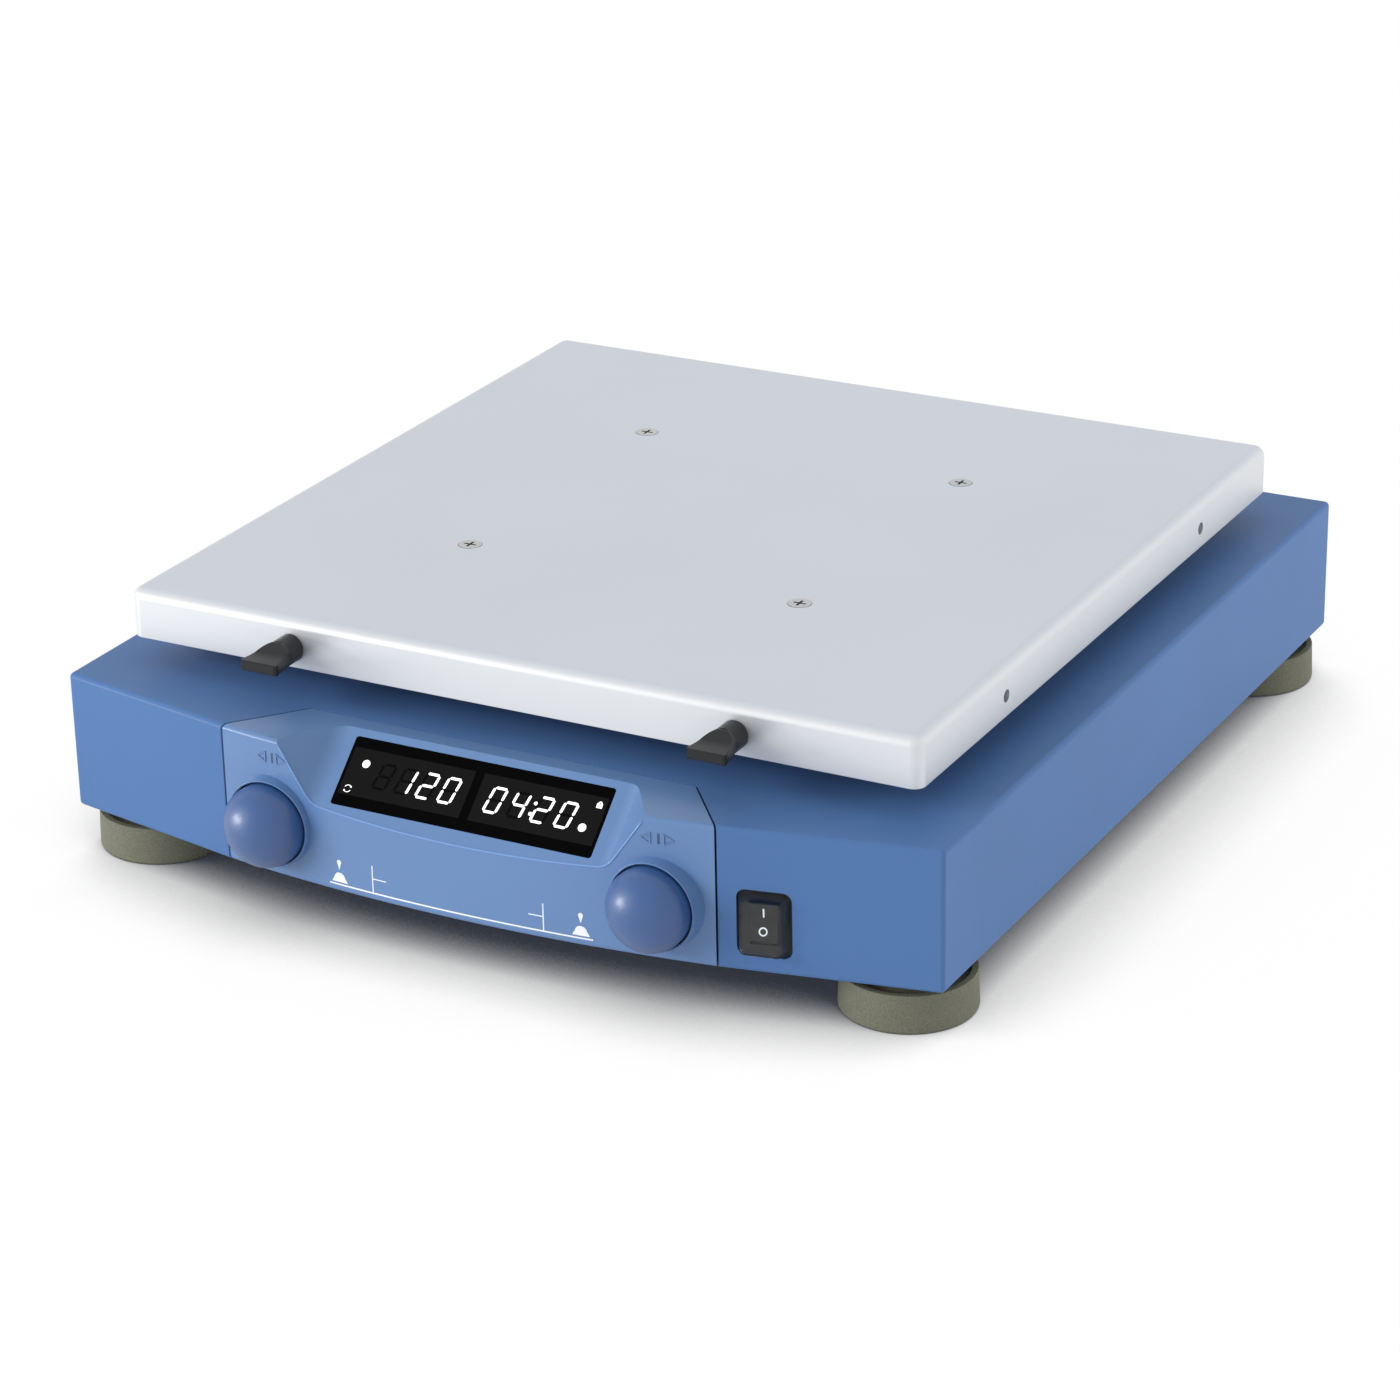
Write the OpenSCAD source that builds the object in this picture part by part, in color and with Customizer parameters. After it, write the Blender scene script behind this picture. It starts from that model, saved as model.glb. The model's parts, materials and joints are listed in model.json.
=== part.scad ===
// Orbital shaker for the laboratory bench.
// A square tray rides on five cranks of equal throw, so every point of it
// runs round the same small circle while the tray itself never turns.
// The origin is on the floor, below the middle of the whole object.
// +Z is up and the operator stands on the -Y side.

/* [Housing] */
// Width over the flat sides
body_w = 370; // [360:1:390]
// Depth from the front corners to the rear face
body_d = 381; // [372:1:400]
// Height of the housing
body_h = 55.6; // [54:0.2:62]
// Thickness of the cast walls
wall = 4; // [3:0.5:5]
// Rounding of the outer edges
edge_r = 2; // [1:0.5:3]
// How far the front leans forward between a corner and the control panel
flank_rise = 16; // [10:1:20]
// How far the middle of the control panel bows beyond its ends
bow_rise = 8; // [4:1:12]
// Thickness of the steel base plate
base_t = 3; // [2:0.5:4]

/* [Feet] */
// Diameter of a rubber foot
foot_d = 51.2; // [44:0.2:56]
// Height of the feet, from the floor to the housing
foot_h = 18.6; // [14:0.2:26]
// Distance of a foot's centre from the side of the housing
foot_side = 24.2; // [22:0.2:34]
// Distance of a foot's centre from the front corner or the rear face
foot_end = 22.3; // [20:0.2:34]
// Height of the narrow neck that joins a foot to the base plate
foot_neck_h = 3.4; // [2:0.2:5]

/* [Control panel] */
// How far the panel reaches behind the front corners of the housing
seam_back = 11.7; // [8:0.1:16]
// How much narrower the panel is at its back edge, on each side
seam_splay = 22.4; // [18:0.1:26]
// Open joint between the panel and the housing
seam_gap = 0.8; // [0.4:0.1:1.2]
// Thickness of the moulded panel
panel_wall = 2.5; // [2:0.25:3]
// How far the display slope starts behind the front corners
slope_start = 3.4; // [2:0.1:5]
// Angle of the display slope from the horizontal
slope_angle = 42.4; // [36:0.2:48]
// From an end of the display window to the side of its slope
slope_margin = 7.5; // [6:0.5:10]
// Rounding where the slope meets its side walls
slope_fillet = 9; // [5:0.5:12]

/* [Display] */
// Width of the dark display window
display_w = 110; // [100:1:114]
// Height of the dark display window, along the slope
display_h = 28; // [24:0.5:29]
// Distance from the top of the slope to the window
display_start = 3.2; // [2.5:0.1:4]
// Thickness of the window
display_t = 1.5; // [1:0.25:2]

/* [Knobs] */
// From the side of the slope to the rim of a knob
knob_from_slope = 2.7; // [2:0.1:5]
// From the rim of a knob to the side of the panel
knob_from_seam = 7.2; // [6:0.1:10]
// Height of the knobs' axes above the underside of the housing
knob_rise = 22.3; // [21:0.1:25]
// Diameter of a knob
knob_d = 32; // [28:0.5:33]
// How far a knob stands out of the panel
knob_reach = 18.5; // [12:0.5:22]
// Length of the rounded end of a knob
knob_dome = 12; // [8:0.5:15]
// Gap round a knob
knob_gap = 0.6; // [0.5:0.1:1.5]
// Depth of the well that a knob sits in
knob_well = 8; // [7.5:0.5:9]
// How far the collar round a knob stands out of the panel
knob_collar = 4; // [2:0.5:5]
// Travel of a knob when it is pushed
knob_travel = 1.2; // [0.5:0.1:1.5]

/* [Power switch] */
// From the side of the panel to the opening for the switch
switch_from_seam = 6.35; // [4:0.05:14]
// Height of the switch's middle above the underside of the housing
switch_rise = 19.5; // [18:0.5:24]
// Width of the opening for the switch
switch_w = 20.5; // [19:0.5:23]
// Height of the opening for the switch
switch_h = 25.8; // [22:0.2:27]
// Angle that the rocker swings through
rocker_swing = 16; // [10:1:18]

/* [Tray] */
// Width and depth of the tray
tray_w = 334; // [320:1:350]
// Thickness of the tray's sheet
tray_t = 3; // [2:0.5:3.5]
// Height of the tray's folded skirt
skirt_h = 20; // [18:0.5:26]
// Outside radius of the tray's folds
fold_r = 4.5; // [4:0.5:7]
// Gap between the housing and the skirt
tray_gap = 11.8; // [10:0.2:18]
// Distance of a tray screw from the tray's middle, in X and in Y
tray_screw = 72; // [64:1:78]
// Distance of a skirt hole from the middle of its side
skirt_hole = 94; // [80:1:110]
// Height of the skirt holes above the skirt's lower edge
skirt_hole_rise = 8; // [7:0.5:10]
// Radius of a skirt hole
skirt_hole_r = 2.5; // [2:0.25:3]

/* [Drive] */
// Throw of every crank, half of the orbit's diameter
orbit_r = 5; // [3:0.5:6]
// Distance of a guide crank from the drive shaft, in X and in Y
guide_x = 97; // [94:1:108]
// Diameter of the drive shaft's journals and pin
drive_bore = 15; // [12:1:17]
// Outside diameter of the drive bearings
drive_od = 35; // [32:1:37]
// Width of the drive bearings
drive_width = 11; // [9:0.5:11]
// Diameter of the guide cranks' journals and pins
guide_bore = 10; // [8:1:12]
// Outside diameter of the guide bearings
guide_od = 26; // [24:1:28]
// Width of the guide bearings
guide_width = 8; // [6:0.5:8]
// Pitch radius of the driven pulley
pulley_r = 56; // [48:1:60]
// Pitch radius of the motor pulley
motor_pulley_r = 14; // [12:1:18]
// Distance from the drive shaft to the motor shaft
motor_y = 118; // [112:1:124]
// Radius of the motor
motor_r = 30; // [26:1:34]
// Width of the belt
belt_w = 10; // [8:0.5:10]
// Thickness of the belt
belt_t = 1.5; // [1:0.25:2]
// Radius of the counterweight
weight_r = 50; // [40:1:54]
// Thickness of the counterweight
weight_t = 6; // [4:0.5:6]

/* [Rear] */
// Distance of the mains inlet's middle from the middle of the rear
inlet_x = -120; // [-128:1:-80]
// Distance of the data socket's middle from the middle of the rear
socket_x = 112; // [90:1:130]
// How far the data socket stands out of the rear
socket_reach = 6; // [5:0.5:8]
// Depth of the fuse drawer behind the rear face, and its travel
drawer_depth = 24; // [23:1:26]

/* [Hidden] */
$fn = 48;
// A gap that lets a shaft turn in its bearing, on the radius
running_fit = 0.05;
// A gap between a moving piece and the piece that guides or carries it
slide_gap = 0.3;
// A loose gap round a piece that drops into an opening
loose_gap = 0.25;
// Extra length of a cut beyond the face it starts from
over = 1;

half_w = body_w / 2;
half_d = body_d / 2;
tray_half = tray_w / 2;

// Across the front, from the middle outwards
slope_half = display_w / 2 + slope_margin;
knob_x = slope_half + knob_from_slope + knob_d / 2;
seam_half = knob_x + knob_d / 2 + knob_from_seam;
seam_back_half = seam_half - seam_splay;
switch_x = seam_half + switch_from_seam + switch_w / 2;

// Levels, from the floor upwards
base_z = foot_h;
base_top = base_z + base_t;
top_z = base_z + body_h;
ceiling = top_z - wall;
skirt_low = top_z + tray_gap;
tray_top = skirt_low + skirt_h;
tray_under = tray_top - tray_t;
skirt_hole_z = skirt_low + skirt_hole_rise;

// Front outline: straight flanks, then an arc between the two seams
seam_y = half_d + flank_rise;
bow_r = (seam_half * seam_half + bow_rise * bow_rise) / (2 * bow_rise);
bow_steps = 24;
flank_angle = atan(flank_rise / (half_w - seam_half));
notch_y = half_d - seam_back;

function bow_at(x) = sqrt(bow_r * bow_r - x * x) - (bow_r - bow_rise);
function flank_at(x) = half_d + flank_rise * (half_w - abs(x)) / (half_w - seam_half);
function front_at(x) = abs(x) <= seam_half ? seam_y + bow_at(x) : flank_at(x);

// Knobs and their encoders, measured outwards from the panel's face
knob_r = knob_d / 2;
knob_z = base_z + knob_rise;
knob_face = front_at(knob_x);
knob_low = slide_gap + knob_travel + 0.5 - knob_well;
encoder_front = -knob_well - panel_wall;
encoder_depth = 7.5;
encoder_half = 6.2;
encoder_skin = 1.5;
bushing_r = 4.4;
nut_h = 2.5;
nut_r = 7;
bushing_top = nut_h - knob_well;
stem_r = 3;
stem_play = 1;
stem_end = encoder_front - encoder_skin - stem_play;
stem_cover = 7;
stem_top = knob_reach - stem_cover;
plunger_r = 4.7;
plunger_t = 2;
collar_wall = 0.7;
collar_draft = 0.15;
knob_skin = 2.4;
knob_boss_r = 6;

// The drive shaft stands so that the object's middle lies on the origin
front_reach = knob_face + knob_reach;
rear_reach = half_d + socket_reach;
drive_y = (front_reach - rear_reach) / 2;

// Levels of the cranks, from the housing's top upwards
collar_h = 3;
collar_t = 2.5;
head_gap = 2;
cap_t = 2;
cap_gap = 1;
cap_skin = 1.5;
cap_low = 1.4;
cap_rise = collar_h + 0.8;
cap_top = top_z + cap_rise + cap_t;
head_top = cap_top + 1.5;
boss_low = head_top + 2;
race_low = boss_low + 1.5;

// Levels of the cranks, from the housing's ceiling downwards
head_low = ceiling - 0.7;
weight_low = head_low - weight_t;
flange_t = 1;
flange_reach = 1;
rim_t = 5;
pulley_hub_r = 16;
pulley_top = weight_low - 1;
pulley_low = pulley_top - belt_w - 2 * flange_t;
belt_low = pulley_low + flange_t;
drive_block_top = pulley_low - 1.5;
guide_block_top = ceiling - 2.2;
guide_head_low = guide_block_top + 0.6;

drive_pin_r = drive_bore / 2 - running_fit;
guide_pin_r = guide_bore / 2 - running_fit;
drive_head_r = orbit_r + drive_bore / 2 + 1.5;
guide_head_r = orbit_r + guide_bore / 2 + 1;
drive_block_r = drive_od / 2 + 6;
guide_block_r = guide_od / 2 + 4;
drive_flange_r = drive_block_r + 12;
guide_flange_r = guide_block_r + 10;
block_flange_t = 5;
block_floor = 2;
race_sunk = 0.5;

// Fasteners
m5_r = 2.5;
m4_r = 2;
m3_r = 1.5;
thread_gap = 0.05;
hole_gap = 0.25;
screw_grip = 12;
panel_grip = 6;

// The circuit boards stand on posts between the side walls and the pulley
board_t = 1.6;
post_h = 6;
post_in = 4;
board_w = 78;
board_from_wall = 27;
board_from_block = 15;
board_d = 2 * (guide_x - guide_flange_r - board_from_block);
board_x = half_w - wall - board_from_wall - board_w / 2;

// Motor
motor_plate_t = 3;
motor_plate_top = pulley_low - 1.5;
motor_plate_half = motor_r + 6;
motor_shaft_r = 4;
motor_pilot_r = 11;
motor_lift = 1;
motor_floor = 5;

// Tray carrier
carrier_t = 5;
arm_h = 12;
arm_wall = 3;
arm_hub_half = 20;
arm_end_half = 11;
screw_boss_r = 6;
seat_step = 3;
hub_r = drive_od / 2 + 5;
pad_r = guide_od / 2 + 3;

guide_corners = [for (x = [-1, 1], y = [-1, 1]) [x * guide_x, y * guide_x]];
tray_screws = [for (x = [-1, 1], y = [-1, 1]) [x * tray_screw, y * tray_screw]];
feet = [for (x = [-1, 1], y = [-1, 1]) [x * (half_w - foot_side), y * (half_d - foot_end)]];
boss_r = 5;
boss_in = wall + boss_r + 1;
side_boss_y = 90;
rear_boss_x = 60;
front_boss_x = 50;
base_screws = concat(
    [for (x = [-1, 1], y = [-1, 1]) [x * (half_w - boss_in), y * side_boss_y]],
    [for (x = [-1, 1]) [x * rear_boss_x, half_d - boss_in]],
    [for (x = [-1, 1]) [x * front_boss_x, boss_in - notch_y]]);
panel_screw_in = 6;
panel_screw_end = 8;
panel_screws = [for (x = [-1, 1], z = [panel_screw_end, body_h - panel_screw_end])
    [x * (seam_back_half - panel_screw_in), base_z + z]];
board_posts = [for (x = [-1, 1], y = [-1, 1])
    [x * (board_w / 2 - post_in), y * (board_d / 2 - post_in)]];
motor_post_in = 5;
motor_posts = [for (x = [-1, 1], y = [-1, 1])
    [x, y] * (motor_plate_half - motor_post_in)];

// Outlines

function unit(v) = v / norm(v);
function side_normal(a, b) = let (u = unit(b - a)) [-u.y, u.x];
// Moves every side of a counter-clockwise outline inwards by d
function inset(pts, d) = let (n = len(pts)) [
    for (i = [0:n - 1])
        let (
            before = side_normal(pts[(i + n - 1) % n], pts[i]),
            after = side_normal(pts[i], pts[(i + 1) % n])
        )
        pts[i] + (before + after) * d / (1 + before * after)
];
function arc(centre, r, from, to, steps) = [
    for (i = [0:steps])
        let (a = from + (to - from) * i / steps)
        [centre.x + r * cos(a), centre.y + r * sin(a)]
];

// The whole body in plan, with the panel in place
body_outline = concat(
    [[half_w, half_d], [-half_w, half_d], [-half_w, -half_d]],
    [for (i = [0:bow_steps]) let (x = seam_half * (2 * i / bow_steps - 1)) [x, -front_at(x)]],
    [[half_w, -half_d]]);

// The housing in plan, with the notch that takes the panel
housing_outline = [
    [half_w, half_d], [-half_w, half_d], [-half_w, -half_d],
    [-seam_half, -seam_y], [-seam_back_half, -notch_y],
    [seam_back_half, -notch_y], [seam_half, -seam_y], [half_w, -half_d]
];

notch_front = -seam_y - 2 * bow_rise - over;
notch_outline = [
    [-seam_half, notch_front], [seam_half, notch_front], [seam_half, -seam_y],
    [seam_back_half, -notch_y], [-seam_back_half, -notch_y], [-seam_half, -seam_y]
];

// The display slope in section, seen along the slope
slope_flare = 45;
slope_depth = 45;
function slope_wall(extra) = let (
    centre = [slope_half - slope_fillet * tan(slope_flare / 2), slope_fillet],
    bend = arc(centre, slope_fillet + extra, -90, -slope_flare, 8)
) concat(bend, [bend[8] + slope_depth * [sin(slope_flare), cos(slope_flare)]]);
function mirrored(pts) = [for (i = [len(pts) - 1:-1:0]) [-pts[i].x, pts[i].y]];
function slope_section(extra) = concat(slope_wall(extra), mirrored(slope_wall(extra)));

// Places

module at_drive() translate([0, drive_y, 0]) children();
module at_tray() translate([0, drive_y - orbit_r, 0]) children();
module at_slope() at_drive() translate([0, slope_start - half_d, top_z])
    rotate([90 + slope_angle, 0, 0]) children();
module at_knob(side) at_drive() translate([side * knob_x, -knob_face, knob_z])
    rotate([90, 0, 0]) children();
module at_switch() at_drive()
    translate([switch_x, -flank_at(switch_x), base_z + switch_rise])
    rotate([0, 0, flank_angle]) children();
module at_rear(x) at_drive() translate([x, half_d, base_z + body_h / 2]) children();
module each_skirt_side() for (a = [180:90:450]) rotate([0, 0, a]) children();
module spots(list) for (p = list) translate([p.x, p.y, 0]) children();

// Shared shapes

module ring(outer, inner, h) difference() {
    cylinder(r = outer, h = h);
    translate([0, 0, -over]) cylinder(r = inner, h = h + 2 * over);
}

module slab(outline, low, high) translate([0, 0, low])
    linear_extrude(high - low) polygon(outline);

// A post with rounded ends; the hull of several makes a block with rounded edges
module rounded_post(r, h, low_round = true) for (a = [0:18:90]) {
    drop = r * (1 - sin(a));
    translate([0, 0, low_round ? drop : 0])
        cylinder(r = max(r * cos(a), 0.02), h = h - drop - (low_round ? drop : 0), $fn = 24);
}

module rounded_rect(w, h, r) {
    square([w - 2 * r, h], center = true);
    square([w, h - 2 * r], center = true);
    for (x = [-1, 1], y = [-1, 1]) translate([x * (w / 2 - r), y * (h / 2 - r)]) circle(r = r);
}

module body_form() translate([0, 0, base_z]) hull()
    spots(inset(body_outline, edge_r)) rounded_post(edge_r, body_h);

module slope_cut(extra) at_slope() translate([0, 0, -slope_depth])
    linear_extrude(2 * slope_depth) polygon(slope_section(extra));

// A ball bearing: its two races, and one ring for its balls and their cage
race_share = 0.14;
cage_in = 0.6;
module bearing(bore, od, width) {
    race = (od - bore) * race_share;
    ring(bore / 2 + race, bore / 2, width);
    ring(od / 2, od / 2 - race, width);
    translate([0, 0, cage_in]) ring(od / 2 - race, bore / 2 + race, width - 2 * cage_in);
}

// A socket screw whose head lies below z = 0; its size follows from the thread's radius
module pan_screw(r, length) {
    head_h = 1.2 * r;
    translate([0, 0, -head_h]) difference() {
        cylinder(r = 1.85 * r, h = head_h);
        translate([0, 0, -over]) cylinder(r = 0.9 * r, h = over + head_h * 0.6, $fn = 6);
    }
    cylinder(r = r - thread_gap, h = length);
}

// Housing

module crank_openings(grow_drive, grow_guide, low, high) {
    translate([0, 0, low]) cylinder(r = drive_head_r + head_gap + grow_drive, h = high - low);
    spots(guide_corners) translate([0, 0, low])
        cylinder(r = guide_head_r + head_gap + grow_guide, h = high - low);
}

// The window in the front wall that the panel's wires pass
cable_half = 50;
cable_low = 10;
cable_high = 14;
boss_hole = 15;
switch_corner = 3.5;
module housing_shell() color("steelblue") difference() {
    at_drive() union() {
        difference() {
            body_form();
            slab(notch_outline, base_z - over, top_z + over);
            slab(inset(housing_outline, wall), base_z - over, ceiling);
        }
        crank_openings(collar_t, collar_t, ceiling, top_z + collar_h);
        spots(base_screws) translate([0, 0, base_top]) cylinder(r = boss_r, h = ceiling - base_top + 0.5);
    }
    at_drive() {
        crank_openings(0, 0, ceiling - over, top_z + collar_h + over);
        spots(base_screws) translate([0, 0, base_top - over]) cylinder(r = m4_r, h = boss_hole + over);
        translate([-cable_half, -notch_y - over, base_z + cable_low])
            cube([2 * cable_half, wall + 2 * over, body_h - cable_low - cable_high]);
        for (p = panel_screws) translate([p.x, -notch_y - over, p.y])
            rotate([-90, 0, 0]) cylinder(r = m3_r + hole_gap, h = wall + 2 * over);
    }
    at_switch() translate([0, -over, 0]) rotate([-90, 0, 0])
        linear_extrude(wall + 3 * over) rounded_rect(switch_w, switch_h, switch_corner);
    at_rear(inlet_x) inlet_cut();
    at_rear(socket_x) socket_cut();
}

module base_plate() color("silver") at_drive() difference() {
    slab(inset(housing_outline, wall + loose_gap), base_z, base_top);
    translate([0, 0, base_z - over]) {
        spots(base_screws) cylinder(r = m4_r + hole_gap, h = base_t + 2 * over);
        spots(feet) cylinder(r = m5_r + hole_gap, h = base_t + 2 * over);
        spots(block_screw_spots()) cylinder(r = m5_r + hole_gap, h = base_t + 2 * over);
        translate([0, motor_y, 0]) spots(motor_posts)
            cylinder(r = m4_r + hole_gap, h = base_t + 2 * over);
        for (side = [-1, 1]) translate([side * board_x, 0, 0]) spots(board_posts)
            cylinder(r = m3_r + hole_gap, h = base_t + 2 * over);
    }
}

module base_plate_screws() color("silver") at_drive() spots(base_screws)
    translate([0, 0, base_z]) pan_screw(m4_r, base_t + screw_grip);

// A foot is a cup-shaped ring with a groove round its neck and a well for its screw
foot_edge_r = 1.5;
foot_draft = 0.5;
foot_lip = 3;
foot_groove = 2;
foot_neck_in = 9;
foot_web = 8;
foot_well_r = 6;
module rubber_feet() color("darkkhaki") at_drive() spots(feet) difference() {
    rotate_extrude($fn = 64) polygon(concat(
        [[0, 0]], arc([foot_d / 2 - foot_edge_r, foot_edge_r], foot_edge_r, -90, 0, 4),
        [[foot_d / 2 - foot_draft, foot_h - foot_neck_h],
         [foot_d / 2 - foot_lip, foot_h - foot_neck_h],
         [foot_d / 2 - foot_lip - 1, foot_h - foot_neck_h - foot_groove],
         [foot_d / 2 - foot_neck_in + 1, foot_h - foot_neck_h - foot_groove],
         [foot_d / 2 - foot_neck_in, foot_h], [0, foot_h]]));
    translate([0, 0, -over]) cylinder(r = m5_r + hole_gap, h = foot_h + 2 * over);
    translate([0, 0, -over]) cylinder(r = foot_well_r, h = foot_h - foot_web + over);
}

module foot_screws() color("silver") at_drive() spots(feet)
    translate([0, 0, foot_h - foot_web]) pan_screw(m5_r, foot_web + base_t + m5_r * 2);

// Control panel

// The panel is a hollow moulding, open at the back
panel_open_half = seam_back_half - seam_gap - panel_wall;
panel_open_depth = 12;
module panel_interior() {
    intersection() {
        slab(inset(body_outline, panel_wall), base_z + panel_wall, top_z - panel_wall);
        union() {
            slab(inset(notch_outline, seam_gap + panel_wall), base_z, top_z);
            translate([-panel_open_half, -notch_y - panel_open_depth, base_z])
                cube([2 * panel_open_half, panel_open_depth + over, body_h]);
        }
    }
}

display_corner = 1.2;
display_ledge = 2;
module display_seat(extra, low, high) at_slope()
    translate([0, high, display_start + display_h / 2]) rotate([90, 0, 0])
    linear_extrude(high - low) rounded_rect(display_w + 2 * extra, display_h + 2 * extra, display_corner);

// The boards behind the window and the front, and what holds them
display_board_low = 9;
display_board_h = 34;
display_board_mid = 17;
display_post_in = 4;
display_post_z = 15;
panel_boss_r = 4;
panel_boss_h = 9;

module control_panel() color("cornflowerblue") difference() {
    union() {
        difference() {
            at_drive() intersection() {
                body_form();
                slab(inset(notch_outline, seam_gap), base_z - over, top_z + over);
            }
            difference() {
                at_drive() panel_interior();
                slope_cut(panel_wall);
                for (side = [-1, 1]) at_knob(side) translate([0, 0, encoder_front])
                    cylinder(r = knob_r + knob_gap + panel_wall, h = -encoder_front);
            }
        }
        for (side = [-1, 1]) at_knob(side) knob_rim();
        at_drive() for (p = panel_screws) translate([p.x, -notch_y - seam_gap, p.y])
            rotate([90, 0, 0]) cylinder(r = panel_boss_r, h = panel_boss_h);
        at_slope() for (x = [-1, 1]) translate([x * (display_w / 2 - display_post_in), 0, display_post_z])
            rotate([90, 0, 0]) cylinder(r = 3.5, h = display_board_low);
    }
    slope_cut(0);
    display_seat(thread_gap, -display_t - thread_gap, over);
    display_seat(-display_ledge, -panel_wall - over, 0);
    for (side = [-1, 1]) at_knob(side) knob_well_cut();
    at_drive() for (p = panel_screws) translate([p.x, over - notch_y - seam_gap, p.y])
        rotate([90, 0, 0]) cylinder(r = m3_r, h = panel_boss_h);
    at_slope() for (x = [-1, 1])
        translate([x * (display_w / 2 - display_post_in), -panel_wall - over, display_post_z])
        rotate([90, 0, 0]) cylinder(r = m3_r, h = display_board_low);
}

// A tapered collar that rises round the knob; it starts below the panel's bowed face
module knob_rim() {
    top_r = knob_r + knob_gap + collar_wall;
    collar_h = knob_collar + knob_well / 2;
    translate([0, 0, -knob_well / 2])
        cylinder(r1 = top_r + collar_draft * collar_h, r2 = top_r, h = collar_h, $fn = 96);
}

// The well that the knob sits in, and a hole for its encoder
module knob_well_cut() {
    translate([0, 0, -knob_well])
        cylinder(r = knob_r + knob_gap, h = knob_well + knob_collar + over, $fn = 96);
    translate([0, 0, encoder_front - over]) cylinder(r = bushing_r + hole_gap, h = panel_wall + 2 * over);
}

module panel_screws() color("silver") at_drive() for (p = panel_screws)
    translate([p.x, wall - notch_y, p.y]) rotate([90, 0, 0]) pan_screw(m3_r, wall + panel_grip);

module display_window() color("black") display_seat(0, -display_t, 0);

// A board with two blocks of digits that face the window
digits_x = 24;
digits_w = 40;
digits_h = 20;
module display_board() color("darkgreen") at_slope() {
    translate([0, -display_board_low, display_board_mid]) rotate([90, 0, 0]) linear_extrude(board_t)
        square([display_w, display_board_h], center = true);
    for (x = [-1, 1]) translate([x * digits_x, -display_board_low, display_board_mid])
        rotate([-90, 0, 0]) linear_extrude(display_board_low - panel_wall - slide_gap)
        square([digits_w, digits_h], center = true);
}

// An upright board that stands in the panel's floor, with its chips and two feet
control_board_w = 120;
control_board_h = 22;
control_board_gap = 6;
chip_w = 12;
chip_h = 10;
chip_t = 3;
chip_pitch = 38;
module control_board() color("darkgreen") at_drive()
    translate([0, -notch_y - seam_gap - control_board_gap, base_z + panel_wall]) {
        translate([-control_board_w / 2, -board_t, 0]) cube([control_board_w, board_t, control_board_h]);
        for (i = [-1:1]) translate([i * chip_pitch - chip_w / 2, -board_t - chip_t, control_board_h / 4])
            cube([chip_w, chip_t, chip_h]);
        for (x = [-1, 1]) translate([x * (control_board_w / 2 - post_in) - post_in / 2, 0, 0])
            cube([post_in, control_board_gap, post_in]);
    }

module encoder(side) color("dimgray") at_knob(side) {
    difference() {
        union() {
            translate([-encoder_half, -encoder_half, encoder_front - encoder_depth])
                cube([2 * encoder_half, 2 * encoder_half, encoder_depth]);
            translate([0, 0, encoder_front]) cylinder(r = bushing_r, h = bushing_top - encoder_front);
        }
        translate([0, 0, encoder_front - encoder_skin - over])
            cylinder(r = stem_r + running_fit, h = bushing_top - encoder_front + encoder_skin + 2 * over);
        translate([0, 0, encoder_front - encoder_depth + encoder_skin])
            cylinder(r = plunger_r + slide_gap, h = encoder_depth - 2 * encoder_skin);
    }
    translate([0, 0, -knob_well]) difference() {
        cylinder(r = nut_r, h = nut_h, $fn = 6);
        translate([0, 0, -over]) cylinder(r = bushing_r + thread_gap, h = nut_h + 2 * over);
    }
}
module speed_encoder() encoder(-1);
module timer_encoder() encoder(1);

module plunger(side) color("white") at_knob(side)
    translate([0, 0, stem_end - plunger_t]) cylinder(r = plunger_r, h = plunger_t);
module speed_plunger() plunger(-1);
module timer_plunger() plunger(1);

module stem(side) color("silver") at_knob(side)
    translate([0, 0, stem_end]) cylinder(r = stem_r, h = stem_top - stem_end);
module speed_stem() stem(-1);
module timer_stem() stem(1);

function dome(r, base, h) = [for (a = [0:7.5:90]) [r * cos(a), base + h * sin(a)]];
module knob(side) color("royalblue") at_knob(side) difference() {
    rotate_extrude($fn = 96) polygon(concat(
        [[0, knob_low], [knob_r, knob_low]],
        dome(knob_r, knob_reach - knob_dome, knob_dome)));
    difference() {
        translate([0, 0, knob_low - over]) rotate_extrude($fn = 48) polygon(concat(
            [[0, 0], [knob_r - knob_skin, 0]],
            dome(knob_r - knob_skin, knob_reach - knob_dome - knob_low + over, knob_dome - knob_skin)));
        translate([0, 0, bushing_top + knob_travel + slide_gap])
            cylinder(r = knob_boss_r, h = 2 * knob_reach);
    }
    translate([0, 0, knob_low - over])
        cylinder(r = stem_r + thread_gap, h = stem_top - knob_low + over);
}
module speed_knob() knob(-1);
module timer_knob() knob(1);

// Power switch, in a frame that is clipped in from the inside

frame_sunk = 1;
frame_t = 2;
frame_lip = 3;
frame_side = 2.4;
rocker_half_w = 5.4;
rocker_half_h = 7.8;
rocker_lean = 0.8;
rocker_pivot = 6;
rocker_back = 5;
rocker_shoulder = 2;
rocker_crease = 1.4;
rocker_proud = 2.8;
rocker_sweep = 0.8;
pivot_r = 1.2;
pivot_len = 1.5;
switch_depth = 16;

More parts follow.
